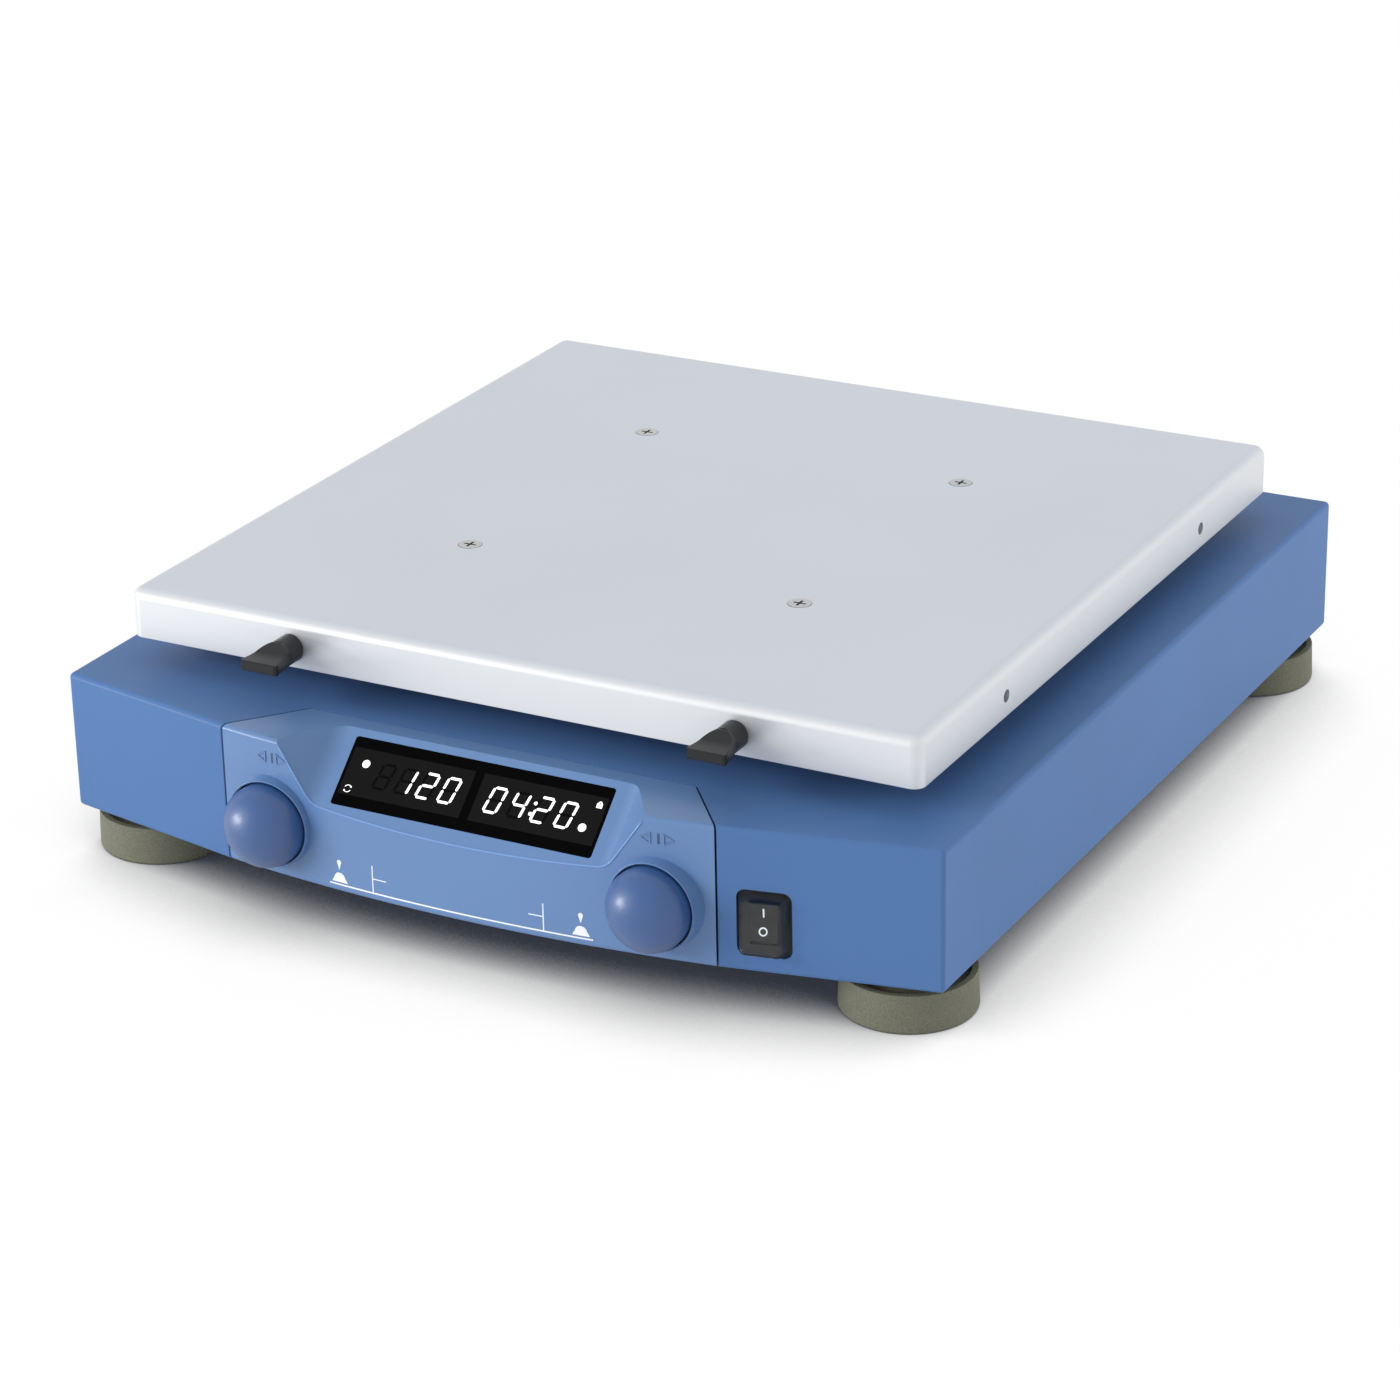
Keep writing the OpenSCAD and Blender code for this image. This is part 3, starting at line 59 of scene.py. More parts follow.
# Display window
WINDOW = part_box("display_window")
WINDOW_T = 1.5 * MM
SLOPE_ANGLE = math.radians(42.4)
SLOPE_DOWN = Vector((0, -math.cos(SLOPE_ANGLE), -math.sin(SLOPE_ANGLE)))
SLOPE_OUT = Vector((0, -math.sin(SLOPE_ANGLE), math.cos(SLOPE_ANGLE)))
WINDOW_TOP = Vector((0, WINDOW[1].y - WINDOW_T * math.sin(SLOPE_ANGLE), WINDOW[1].z))
WINDOW_HALF = WINDOW[1].x
SLOPE_HALF = 62.5 * MM
SLOPE_FILLET = 9 * MM
SLOPE_FLARE = math.radians(45)
FIELD_TOP = 4.3 * MM
FIELD_HEIGHT = 19.1 * MM
FIELD_OUTER = WINDOW_HALF - 1.3 * MM
FIELD_INNER = 1.9 * MM
FIELD_BOTTOM = FIELD_TOP + FIELD_HEIGHT
DIGIT_TOP = 8.4 * MM
DIGIT_HEIGHT = 10.8 * MM
DIGIT_WIDTH = 6.2 * MM
DIGIT_SLANT = math.tan(math.radians(9.5))
STROKE = 1.0 * MM
SPEED_FIRST = -41.4 * MM
SPEED_PITCH = 9.3 * MM
TIME_FIRST = 5.9 * MM
TIME_PITCH = 9.85 * MM
COLON_RADIUS = 0.7 * MM
COLON_DOTS = ((26.1 * MM, 11.8 * MM), (25.4 * MM, 16.1 * MM))
STATUS_RADIUS = 1.6 * MM
STATUS_LAMPS = ((-46.7 * MM, 10.2 * MM), (47.4 * MM, 17.2 * MM))
TURN_ICON = (-50.3 * MM, 21 * MM)
LOCK_ICON = (50.9 * MM, 7 * MM)

# Control panel
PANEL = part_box("control_panel")
BOW_RISE = 8 * MM
SEAM_HALF = 104.4 * MM
BOW_RADIUS = (SEAM_HALF ** 2 + BOW_RISE ** 2) / (2 * BOW_RISE)
STRIP_MIDDLE = 0.4 * MM
STRIP_HALF = 55.9 * MM
STRIP_LOW = 21.9 * MM
STRIP_HIGH = 33 * MM
STRIP_DIVIDER = 36.2 * MM
RULE_WIDTH = 0.6 * MM
DIVIDER_WIDTH = 0.45 * MM
DASH_WIDTH = 0.4 * MM
DASH_LENGTH = 6 * MM
LINE_STEP = 6 * MM
SIGN_OFFSET = 51.2 * MM
KNOB_MARK_Z = 66.3 * MM
KNOB_MARK_SHIFT = 0.9 * MM
BAR_LEFT = 1 * MM
BAR_RIGHT = 1.9 * MM
BAR_HALF = 2 * MM
ARROW_TIP = 6.8 * MM
ARROW_FOOT = 2.4 * MM
ARROW_HALF = 2.3 * MM
ARROW_WALL = 0.5 * MM
ARROW_RELIEF = 0.35 * MM
COLLAR_RADIUS = 17.05 * MM
COLLAR_RISE = 4 * MM
COLLAR_BEAD = 0.3 * MM
LIP_BEAD = 0.32 * MM
LIP_FROM_TOP = 1.5 * MM
LIP_OUT = Vector((0, -0.92, 0.38))
BEAD_SIDES = 8

# Power switch: points of the rocker's face, seen from its pivot, as outwards and upwards
ROCKER_TILT = math.radians(-8)
ROCKER_CREASE = (-7.4 * MM, 0)
ROCKER_TIP = (-8.8 * MM, 7 * MM)

# Soft edges: an edge that turns by more than the crease angle stays sharp or gets a bevel
CREASE_ANGLE = math.radians(34)
FLAT_ANGLE = math.radians(0.2)
WELD_DISTANCE = 0.001 * MM

# Print on the surfaces stands this far out of them
PRINT_T = 0.06 * MM


def linear(red, green, blue):
    """An sRGB colour, 0 to 255, as the shader's linear one."""
    def channel(value):
        value /= 255
        return value / 12.92 if value <= 0.04045 else ((value + 0.055) / 1.055) ** 2.4
    return (channel(red), channel(green), channel(blue), 1)


def shade(colour, factor):
    """A colour made lighter or darker by a factor."""
    return tuple(min(1, channel * factor) for channel in colour[:3]) + (1,)


# Materials

PATCH_SCALE = 18
GLOSS_SPREAD = 0.04


class Nodes:
    """A material's nodes: each call adds one and returns it."""

    def __init__(self, name):
        self.material = bpy.data.materials.new(name)
        self.material.use_nodes = True
        self.tree = self.material.node_tree
        self.shader = self.tree.nodes["Principled BSDF"]
        self.coordinates = self.add("ShaderNodeTexCoord")

    def add(self, kind, **sockets):
        node = self.tree.nodes.new(kind)
        for key, value in sockets.items():
            node.inputs[key.replace("_", " ")].default_value = value
        return node

    def link(self, source, target):
        self.tree.links.new(source, target)

    def noise(self, scale, stretch=(1, 1, 1), detail=3):
        mapping = self.add("ShaderNodeMapping", Scale=stretch)
        self.link(self.coordinates.outputs["Object"], mapping.inputs["Vector"])
        noise = self.add("ShaderNodeTexNoise", Scale=scale, Detail=detail)
        self.link(mapping.outputs["Vector"], noise.inputs["Vector"])
        return noise.outputs["Fac"]

    def ramp(self, factor, low, high, first, second):
        ramp = self.add("ShaderNodeValToRGB")
        ramp.color_ramp.elements[0].position = low
        ramp.color_ramp.elements[1].position = high
        ramp.color_ramp.elements[0].color = first
        ramp.color_ramp.elements[1].color = second
        self.link(factor, ramp.inputs["Fac"])
        return ramp.outputs["Color"]

    def spread(self, factor, low, high):
        remap = self.add("ShaderNodeMapRange", To_Min=low, To_Max=high)
        self.link(factor, remap.inputs["Value"])
        return remap.outputs["Result"]

    def bump(self, height, distance):
        bump = self.add("ShaderNodeBump", Strength=1.0, Distance=distance)
        self.link(height, bump.inputs["Height"])
        self.link(bump.outputs["Normal"], self.shader.inputs["Normal"])

    def set(self, **sockets):
        for key, value in sockets.items():
            self.shader.inputs[key.replace("_", " ")].default_value = value


def finish(name, colour, roughness, vary=0.05, grain=900, relief=0.01, stretch=(1, 1, 1), **sockets):
    """A surface whose colour drifts in soft patches and whose gloss and relief follow a fine grain."""
    nodes = Nodes(name)
    drift = nodes.noise(PATCH_SCALE)
    nodes.link(nodes.ramp(drift, 0.3, 0.7, shade(colour, 1 - vary), shade(colour, 1 + vary)),
               nodes.shader.inputs["Base Color"])
    fine = nodes.noise(grain, stretch)
    nodes.link(nodes.spread(fine, roughness - GLOSS_SPREAD, roughness + GLOSS_SPREAD),
               nodes.shader.inputs["Roughness"])
    nodes.bump(fine, relief * MM)
    nodes.set(**sockets)
    return nodes.material


def paint(name, colour):
    """Semi-gloss coating with a faint orange peel under a clear top."""
    return finish(name, colour, 0.42, vary=0.03, grain=420, relief=0.02,
                  Specular_IOR_Level=0.1, Coat_Weight=0.04, Coat_Roughness=0.2, Coat_IOR=1.5)


def metal(name, colour, roughness, stretch=(1, 1, 1), **more):
    """Bare metal, whose grain a stretch turns into brushed or turned lines."""
    return finish(name, colour, roughness, stretch=stretch, Metallic=1.0, **more)


def satin_sheet_painted_top_shade(name, top, lit_sides):
    """Anodised sheet whose flat top is coloured a shade deeper than its folded sides: painted shade for the weaker
    light on the top.
    """
    nodes = Nodes(name)
    drift = nodes.noise(6)
    # Painted shade: the more a face points up, the more it takes the darker top colour
    facing = nodes.add("ShaderNodeSeparateXYZ")
    nodes.link(nodes.coordinates.outputs["Normal"], facing.inputs[0])
    level = nodes.add("ShaderNodeMapRange", From_Min=0.5, From_Max=0.95)
    nodes.link(facing.outputs["Z"], level.inputs["Value"])
    mix = nodes.add("ShaderNodeMix")
    mix.data_type = "RGBA"
    nodes.link(level.outputs["Result"], mix.inputs["Factor"])
    # A mix node's colours are its inputs 6 and 7 and its output 2
    for colour, socket in ((lit_sides, 6), (top, 7)):
        drifting = nodes.ramp(drift, 0.3, 0.7, shade(colour, 0.98), shade(colour, 1.02))
        nodes.link(drifting, mix.inputs[socket])
    nodes.link(mix.outputs[2], nodes.shader.inputs["Base Color"])
    fine = nodes.noise(1800)
    nodes.link(nodes.spread(fine, 0.34, 0.42), nodes.shader.inputs["Roughness"])
    nodes.bump(fine, 0.006 * MM)
    nodes.set(Metallic=0.6)
    return nodes.material


def speckled(name, colour, fleck, roughness):
    """Moulded rubber with fine lighter and darker flecks."""
    nodes = Nodes(name)
    cells = nodes.noise(2600, detail=5)
    nodes.link(nodes.ramp(cells, 0.35, 0.68, colour, fleck), nodes.shader.inputs["Base Color"])
    broad = nodes.noise(60)
    nodes.link(nodes.spread(broad, roughness - 0.1, roughness + 0.08), nodes.shader.inputs["Roughness"])
    nodes.bump(cells, 0.05 * MM)
    return nodes.material


def circuit(name, colour, track):
    """Solder mask with lighter tracks under it."""
    nodes = Nodes(name)
    tracks = nodes.add("ShaderNodeTexBrick", Scale=110.0, Color1=colour, Color2=shade(colour, 1.3),
                       Mortar=track, Mortar_Size=0.04, Brick_Width=0.9, Row_Height=0.35)
    nodes.link(nodes.coordinates.outputs["Object"], tracks.inputs["Vector"])
    nodes.link(tracks.outputs["Color"], nodes.shader.inputs["Base Color"])
    nodes.bump(tracks.outputs["Fac"], 0.03 * MM)
    nodes.set(Roughness=0.35)
    return nodes.material


def clear(name, colour):
    """A thin clear cap: see-through with a sharp gloss and a faint haze."""
    nodes = Nodes(name)
    haze = nodes.noise(260)
    nodes.link(nodes.spread(haze, 0.02, 0.1), nodes.shader.inputs["Roughness"])
    nodes.bump(haze, 0.05 * MM)
    nodes.set(Base_Color=colour, Transmission_Weight=1.0, IOR=1.06, Coat_Weight=0.45,
              Coat_Roughness=0.03, Coat_IOR=1.5)
    return nodes.material


def glow(name, colour, strength):
    """A lit segment or lamp: even light with a faint falling off in patches."""
    nodes = Nodes(name)
    patches = nodes.noise(900)
    nodes.link(nodes.ramp(patches, 0.2, 0.8, shade(colour, 0.93), colour),
               nodes.shader.inputs["Emission Color"])
    nodes.set(Base_Color=colour, Roughness=0.4, Emission_Strength=strength)
    return nodes.material


HOUSING_BLUE = linear(82, 117, 168)
PANEL_BLUE = linear(94, 129, 177)
KNOB_BLUE = linear(42, 80, 136)

FINISHES = {
    "housing_paint": lambda name: paint(name, HOUSING_BLUE),
    "panel_plastic": lambda name: finish(name, PANEL_BLUE, 0.4, vary=0.03, grain=420, relief=0.02,
                                         Specular_IOR_Level=0.45, Coat_Weight=0.3, Coat_Roughness=0.2),
    "knob_plastic": lambda name: finish(name, KNOB_BLUE, 0.5, vary=0.03, grain=700, relief=0.015,
                                        Specular_IOR_Level=0.5, Coat_Weight=0.7, Coat_Roughness=0.32),
    "base_steel": lambda name: metal(name, linear(176, 178, 180), 0.38, (1, 30, 1)),
    "foot_rubber": lambda name: speckled(name, linear(94, 95, 80), linear(122, 123, 105), 0.72),
    "fastener_steel": lambda name: metal(name, linear(186, 188, 190), 0.3),
    "display_black": lambda name: finish(name, linear(4, 4, 5), 0.25, grain=300, relief=0.002,
                                         Specular_IOR_Level=0.02),
    "circuit_board": lambda name: circuit(name, linear(18, 84, 48), linear(60, 130, 70)),
    "encoder_metal": lambda name: metal(name, linear(160, 162, 164), 0.36),
    "switch_plastic": lambda name: finish(name, linear(16, 17, 20), 0.4, grain=1500, relief=0.02,
                                          Specular_IOR_Level=0.25),
    "boot_clear": lambda name: clear(name, (0.92, 0.95, 0.97, 1)),
    "contact_metal": lambda name: metal(name, linear(206, 190, 140), 0.25),
    "socket_shell": lambda name: metal(name, linear(188, 190, 192), 0.3, (1, 1, 20)),
    "motor_case": lambda name: finish(name, linear(52, 53, 56), 0.5, relief=0.03),
    "bracket_steel": lambda name: metal(name, linear(176, 178, 180), 0.38, (20, 1, 1)),
    "belt_rubber": lambda name: speckled(name, linear(24, 24, 25), linear(40, 40, 41), 0.8),
    "block_aluminium": lambda name: metal(name, linear(186, 188, 190), 0.35, (1, 1, 30)),
    "bearing_steel": lambda name: metal(name, linear(196, 198, 200), 0.18),
    "crank_steel": lambda name: metal(name, linear(170, 172, 174), 0.3, (1, 1, 40)),
    "pulley_aluminium": lambda name: metal(name, linear(184, 186, 188), 0.32, (1, 1, 30)),
    "weight_iron": lambda name: metal(name, linear(110, 110, 114), 0.6, grain=500, relief=0.12),
    "cap_plastic": lambda name: finish(name, linear(72, 73, 76), 0.5, relief=0.03),
    "carrier_aluminium": lambda name: metal(name, linear(164, 166, 170), 0.5, grain=600, relief=0.1),
    # The tray's flat top gets a darker colour than its sides: painted shade
    "tray_aluminium": lambda name: satin_sheet_painted_top_shade(name, linear(203, 208, 217), linear(220, 222, 225)),
    "thumb_plastic": lambda name: finish(name, linear(22, 23, 26), 0.38, grain=1300, relief=0.03,
                                         Specular_IOR_Level=0.35),
    "fuse_ceramic": lambda name: finish(name, linear(226, 224, 214), 0.2, relief=0.005),
}


def dress_nodes():
    """Gives every carried-over node the finish that the record names for it."""
    made = {}
    for part in frame["record"]["subparts"]:
        slot = part["material_slot"]
        if slot not in made:
            made[slot] = FINISHES[slot](slot)
        mesh = NODES[part["node"]].data
        mesh.materials.clear()
        mesh.materials.append(made[slot])
    return made


# Soft edges and smooth shading for the frame's own meshes

def smooth_group(limit):
    """Shades smooth wherever two faces meet at less than the limit."""
    group = bpy.data.node_groups.new("smooth_below", "GeometryNodeTree")
    group.interface.new_socket("Geometry", in_out="INPUT", socket_type="NodeSocketGeometry")
    group.interface.new_socket("Geometry", in_out="OUTPUT", socket_type="NodeSocketGeometry")
    add = group.nodes.new
    link = group.links.new
    start, end = add("NodeGroupInput"), add("NodeGroupOutput")
    drop = add("GeometryNodeRemoveAttribute")
    drop.inputs["Name"].default_value = "custom_normal"
    faces, edges = add("GeometryNodeSetShadeSmooth"), add("GeometryNodeSetShadeSmooth")
    edges.domain = "EDGE"
    edges.inputs["Shade Smooth"].default_value = False
    angle = add("GeometryNodeInputMeshEdgeAngle")
    sharp = add("FunctionNodeCompare")
    sharp.data_type = "FLOAT"
    sharp.operation = "GREATER_THAN"
    sharp.inputs["B"].default_value = limit
    link(angle.outputs["Unsigned Angle"], sharp.inputs["A"])
    link(sharp.outputs["Result"], edges.inputs["Selection"])
    link(start.outputs[0], drop.inputs["Geometry"])
    link(drop.outputs[0], faces.inputs["Geometry"])
    link(faces.outputs[0], edges.inputs["Geometry"])
    link(edges.outputs[0], end.inputs[0])
    return group


BEVELS = {
    "housing_shell": 0.35, "tray": 0.25, "thumb_screw_left": 0.35,
    "thumb_screw_right": 0.35, "switch_frame": 0.3, "power_rocker": 0.3, "mains_inlet": 0.3,
    "fuse_drawer": 0.3, "base_plate": 0.2, "rubber_feet": 0.3,
}


def soften(node, group):
    """Joins doubled points, merges flat faces, bevels some nodes' edges and shades smoothly."""
    obj = NODES[node]
    weld = obj.modifiers.new("weld", "WELD")
    weld.merge_threshold = WELD_DISTANCE
    flat = obj.modifiers.new("flat", "DECIMATE")
    flat.decimate_type = "DISSOLVE"
    flat.angle_limit = FLAT_ANGLE
    if node in BEVELS:
        bevel = obj.modifiers.new("edges", "BEVEL")
        bevel.width = BEVELS[node] * MM
        bevel.segments = 3
        bevel.limit_method = "ANGLE"
        bevel.angle_limit = CREASE_ANGLE
        bevel.use_clamp_overlap = True
    smooth = obj.modifiers.new("smooth", "NODES")
    smooth.node_group = group
    normals = obj.modifiers.new("normals", "WEIGHTED_NORMAL")
    normals.keep_sharp = True


# Pieces made here

def make_piece(name, body, material, bm, smooth=False):
    """A new object from the mesh, which rides on one of the frame's bodies."""
    bmesh.ops.recalc_face_normals(bm, faces=bm.faces)
    mesh = bpy.data.meshes.new(name)
    bm.to_mesh(mesh)
    bm.free()
    mesh.materials.append(material)
    obj = bpy.data.objects.new(name, mesh)
    bpy.context.scene.collection.objects.link(obj)
    if smooth:
        mesh.shade_smooth()
    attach(obj, body)


def add_plate(bm, place, outline):
    """A thin closed plate on a surface: place(u, v, height) gives its points."""
    lower = [bm.verts.new(place(u, v, 0)) for u, v in outline]
    upper = [bm.verts.new(place(u, v, PRINT_T)) for u, v in outline]
    bm.faces.new(lower)
    bm.faces.new(upper)
    for i in range(len(outline)):
        bm.faces.new((lower[i - 1], lower[i], upper[i], upper[i - 1]))


def add_band(bm, place, inner, outer, high=PRINT_T, closed=False):
    """A thin closed band between two rows of points, which may close to a ring."""
    rows = [[bm.verts.new(place(u, v, height)) for u, v in row]
            for row in (inner, outer) for height in (0, high)]
    inner_low, inner_high, outer_low, outer_high = rows
    count = len(inner)
    for i in range(count if closed else count - 1):
        j = (i + 1) % count
        bm.faces.new((inner_low[i], inner_low[j], outer_low[j], outer_low[i]))
        bm.faces.new((inner_high[i], inner_high[j], outer_high[j], outer_high[i]))
        bm.faces.new((inner_low[i], inner_low[j], inner_high[j], inner_high[i]))
        bm.faces.new((outer_low[i], outer_low[j], outer_high[j], outer_high[i]))
    if not closed:
        for i in (0, count - 1):
            bm.faces.new((inner_low[i], inner_high[i], outer_high[i], outer_low[i]))


def circle(u, v, radius, start=0, turn=360, steps=24):
    """Points round part of a circle, angles in degrees."""
    count = steps if turn == 360 else steps + 1
    angles = [math.radians(start + turn * i / steps) for i in range(count)]
    return [(u + radius * math.cos(a), v + radius * math.sin(a)) for a in angles]


def slope_place(base):
    """Points on the display window: u to the right, v down the slope, then outwards."""
    def place(u, v, height):
        return WINDOW_TOP + Vector((u, 0, 0)) + SLOPE_DOWN * v + SLOPE_OUT * (base + height)
    return place


def front_y(x):
    """The bowed front of the control panel."""
    return PANEL[0].y + BOW_RADIUS - math.sqrt(BOW_RADIUS ** 2 - x ** 2)


def front_place(x, z, height):
    """Points on the panel's bowed front: across, up, then outwards."""
    return Vector((x, front_y(x) - height, z))


# Display

SEGMENTS = {
    "a": ((0, 0), (1, 0)), "b": ((1, 0), (1, 1)), "c": ((1, 1), (1, 2)), "d": ((0, 2), (1, 2)),
    "e": ((0, 1), (0, 2)), "f": ((0, 0), (0, 1)), "g": ((0, 1), (1, 1)),
}
LIT = {" ": "", "0": "abcdef", "1": "bc", "2": "abged", "4": "fgbc"}


def add_segment(bm, place, left, ends):
    """One six-sided segment of a digit that leans to the right."""
    start, end = ends
    inset = STROKE / 2
    step_u = DIGIT_WIDTH - STROKE
    step_v = (DIGIT_HEIGHT - STROKE) / 2
    first = Vector((start[0] * step_u, start[1] * step_v))
    last = Vector((end[0] * step_u, end[1] * step_v))
    along = (last - first).normalized()
    across = Vector((-along.y, along.x)) * inset
    gap = along * (0.2 * STROKE)
    nib = along * inset
    first, last = first + gap, last - gap
    outline = (first, first + nib + across, last - nib + across, last, last - nib - across,
               first + nib - across)
    middle = DIGIT_HEIGHT - inset
    add_plate(bm, place, [(left + inset + p.x + (middle - p.y) * DIGIT_SLANT, DIGIT_TOP + inset + p.y)
                          for p in outline])


def add_digits(bm, place, text, first, pitch, lit):
    """The lit or the unlit segments of a row of digits."""
    for i, digit in enumerate(text):
        for name, ends in SEGMENTS.items():
            if (name in LIT[digit]) == lit:
                add_segment(bm, place, first + i * pitch, ends)


def behind_glass(name, colour):
    """A dark surface of the display, with next to no gloss."""
    return finish(name, colour, 0.4, grain=1500, relief=0.004, Specular_IOR_Level=0.02)


def display():
    field_place = slope_place(0)
    mark_place = slope_place(PRINT_T)
    fields, unlit, lit = bmesh.new(), bmesh.new(), bmesh.new()
    for side in (-1, 1):
        outer, inner = side * FIELD_OUTER, side * FIELD_INNER
        add_plate(fields, field_place, [(outer, FIELD_TOP), (inner, FIELD_TOP),
                                        (inner, FIELD_BOTTOM), (outer, FIELD_BOTTOM)])
    for shown, bm in ((False, unlit), (True, lit)):
        add_digits(bm, mark_place, " 120", SPEED_FIRST, SPEED_PITCH, shown)
        add_digits(bm, mark_place, "0420", TIME_FIRST, TIME_PITCH, shown)
    for u, v in COLON_DOTS:
        add_plate(lit, mark_place, circle(u, v, COLON_RADIUS))
    for u, v in STATUS_LAMPS:
        add_plate(lit, mark_place, circle(u, v, STATUS_RADIUS))
    add_turn_icon(lit, mark_place, *TURN_ICON)
    add_lock_icon(lit, mark_place, *LOCK_ICON)
    field = behind_glass("display_field", linear(24, 24, 25))
    dark = behind_glass("display_unlit", linear(9, 9, 10))
    make_piece("display_fields", "base", field, fields)
    make_piece("display_unlit", "base", dark, unlit)
    make_piece("display_lit", "base", glow("display_lit", (1, 1, 1, 1), 0.9), lit)


def add_turn_icon(bm, place, u, v):
    """Two arrows that chase each other round a circle."""
    inner, outer = 1.3 * MM, 1.52 * MM
    ahead, behind, half = 0.3 * MM, 0.4 * MM, 0.42 * MM
    for start in (20, 200):
        add_band(bm, place, circle(u, v, inner, start, 110, 8), circle(u, v, outer, start, 110, 8))
        tip = math.radians(start + 130)
        spin = Vector((-math.sin(tip), math.cos(tip)))
        out = Vector((math.cos(tip), math.sin(tip)))
        middle = Vector((u, v)) + out * ((inner + outer) / 2)
        add_plate(bm, place, [middle + spin * ahead, middle - spin * behind + out * half,
                              middle - spin * behind - out * half])


def add_lock_icon(bm, place, u, v):
    """A closed padlock: its body and the half ring over it."""
    half, top, bottom = 1.15 * MM, v - 0.1 * MM, v + 1.65 * MM
    add_plate(bm, place, [(u - half, top), (u + half, top), (u + half, bottom), (u - half, bottom)])
    inner, outer = (circle(u, top, radius * MM, 180, 180, 8) for radius in (0.5, 0.85))
    add_band(bm, place, inner, outer)


# Panel

def slope_section():
    """Half of the display recess's section, from the middle outwards: across, and out of the slope."""
    bend = Vector((SLOPE_HALF - SLOPE_FILLET * math.tan(SLOPE_FLARE / 2), SLOPE_FILLET))
    flat = [Vector((bend.x * i / 8, 0)) for i in range(8)]
    curve = [bend + SLOPE_FILLET * Vector((math.sin(a), -math.cos(a)))
             for a in (SLOPE_FLARE * i / 6 for i in range(7))]
    wall = [curve[-1] + Vector((math.sin(SLOPE_FLARE), math.cos(SLOPE_FLARE))) * step * MM
            for step in range(2, 40, 2)]
    return flat + curve + wall


def slope_lip():
    """The bead where the display slope meets the bowed front, coloured paler than the panel as a painted
    highlight.
    """
    half = []
    for across, out in slope_section():
        level = WINDOW_TOP.y + out * SLOPE_OUT.y
        down = (level - front_y(across)) / math.cos(SLOPE_ANGLE)
        height = WINDOW_TOP.z + out * SLOPE_OUT.z + down * SLOPE_DOWN.z
        if height < PANEL[1].z - LIP_FROM_TOP:
            half.append(Vector((across, front_y(across), height)))
    path = [Vector((-p.x, p.y, p.z)) for p in reversed(half[1:])] + half
    bm = bmesh.new()
    add_bead(bm, path, LIP_BEAD, LIP_OUT)
    # Painted highlight: the bead is the panel blue made half as bright again, standing in for light caught on the
    # edge
    painted_highlight_blue = finish("slope_lip", shade(PANEL_BLUE, 1.5), 0.3, vary=0.02, grain=700, Coat_Weight=0.4)
    make_piece("slope_lip", "base", painted_highlight_blue, bm, smooth=True)


def collar_lips(finishes):
    """The rounded outer edge of the collar round each knob."""
    bm = bmesh.new()
    for joint in ("speed_knob_turn", "timer_knob_turn"):
        x, y, z = JOINTS[joint]["pos_m"]
        ring = [Vector((u, y - COLLAR_RISE, v)) for u, v in circle(x, z, COLLAR_RADIUS, steps=64)]
        add_bead(bm, ring, COLLAR_BEAD, Vector((0, -1, 0)), closed=True)
    make_piece("collar_lips", "base", finishes["panel_plastic"], bm, smooth=True)


def add_bead(bm, path, radius, out, closed=False):
    """A thin round bead along a path, with flat ends or closed to a ring."""
    rings = []
    last = len(path) - 1
    for i, point in enumerate(path):
        before, after = (i - 1, (i + 1) % len(path)) if closed else (max(i - 1, 0), min(i + 1, last))
        along = (path[after] - path[before]).normalized()
        side = along.cross(out).normalized()
        up = side.cross(along)
        rings.append([bm.verts.new(point + radius * (math.cos(a) * side + math.sin(a) * up))
                      for a in (math.radians(360 / BEAD_SIDES * k) for k in range(BEAD_SIDES))])
    for first, second in zip(rings, rings[1:] + rings[:1] if closed else rings[1:]):
        for k in range(BEAD_SIDES):
            bm.faces.new((first[k - 1], first[k], second[k], second[k - 1]))
    if not closed:
        bm.faces.new(rings[0])
        bm.faces.new(rings[-1])


# Print on the front, without its words

def add_front_line(bm, start, end, width):
    """A straight line on the bowed front, split so that it follows the bow."""
    (x0, z0), (x1, z1) = start, end
    steps = max(1, math.ceil(abs(x1 - x0) / LINE_STEP))
    line = [(x0 + (x1 - x0) * i / steps, z0 + (z1 - z0) * i / steps) for i in range(steps + 1)]
    dx, dz = (width / 2, 0) if x0 == x1 else (0, width / 2)
    add_band(bm, front_place, [(x - dx, z - dz) for x, z in line], [(x + dx, z + dz) for x, z in line])


def front_strip():
    """The strip between the knobs: rules and the two pictograms of a finger on a knob."""
    bm = bmesh.new()
    left, right = STRIP_MIDDLE - STRIP_HALF, STRIP_MIDDLE + STRIP_HALF
    add_front_line(bm, (left, STRIP_LOW), (right, STRIP_LOW), RULE_WIDTH)
    middle = (STRIP_LOW + STRIP_HIGH) / 2 + 0.3 * MM
    for side in (-1, 1):
        divider = STRIP_MIDDLE + side * STRIP_DIVIDER
        add_front_line(bm, (divider, STRIP_LOW + 0.4 * MM), (divider, STRIP_HIGH), DIVIDER_WIDTH)
        add_front_line(bm, (divider, middle), (divider - side * DASH_LENGTH, middle), DASH_WIDTH)
        add_press_sign(bm, STRIP_MIDDLE + side * SIGN_OFFSET, STRIP_LOW + 1 * MM)
    white = finish("front_print", linear(238, 241, 246), 0.45, vary=0.02, grain=1600, relief=0.003)
    make_piece("front_strip", "base", white, bm)


def add_press_sign(bm, x, z):
    """A bell-shaped knob and the fingertip above it, which points down at it."""
    bell = ((3.5, 0), (3.2, 0.7), (2.5, 1.7), (2.1, 2.7), (1.5, 3.4), (0.6, 3.8))
    add_plate(bm, front_place, [(x + u * MM, z + v * MM) for u, v in bell]
              + [(x - u * MM, z + v * MM) for u, v in reversed(bell)])
    tip, shoulder, crown = z + 4.9 * MM, z + 7.6 * MM, circle(x, z + 8.1 * MM, 0.95 * MM, 0, 180, 8)
    add_plate(bm, front_place, [(x, tip), (x + 0.8 * MM, shoulder), *crown, (x - 0.8 * MM, shoulder)])


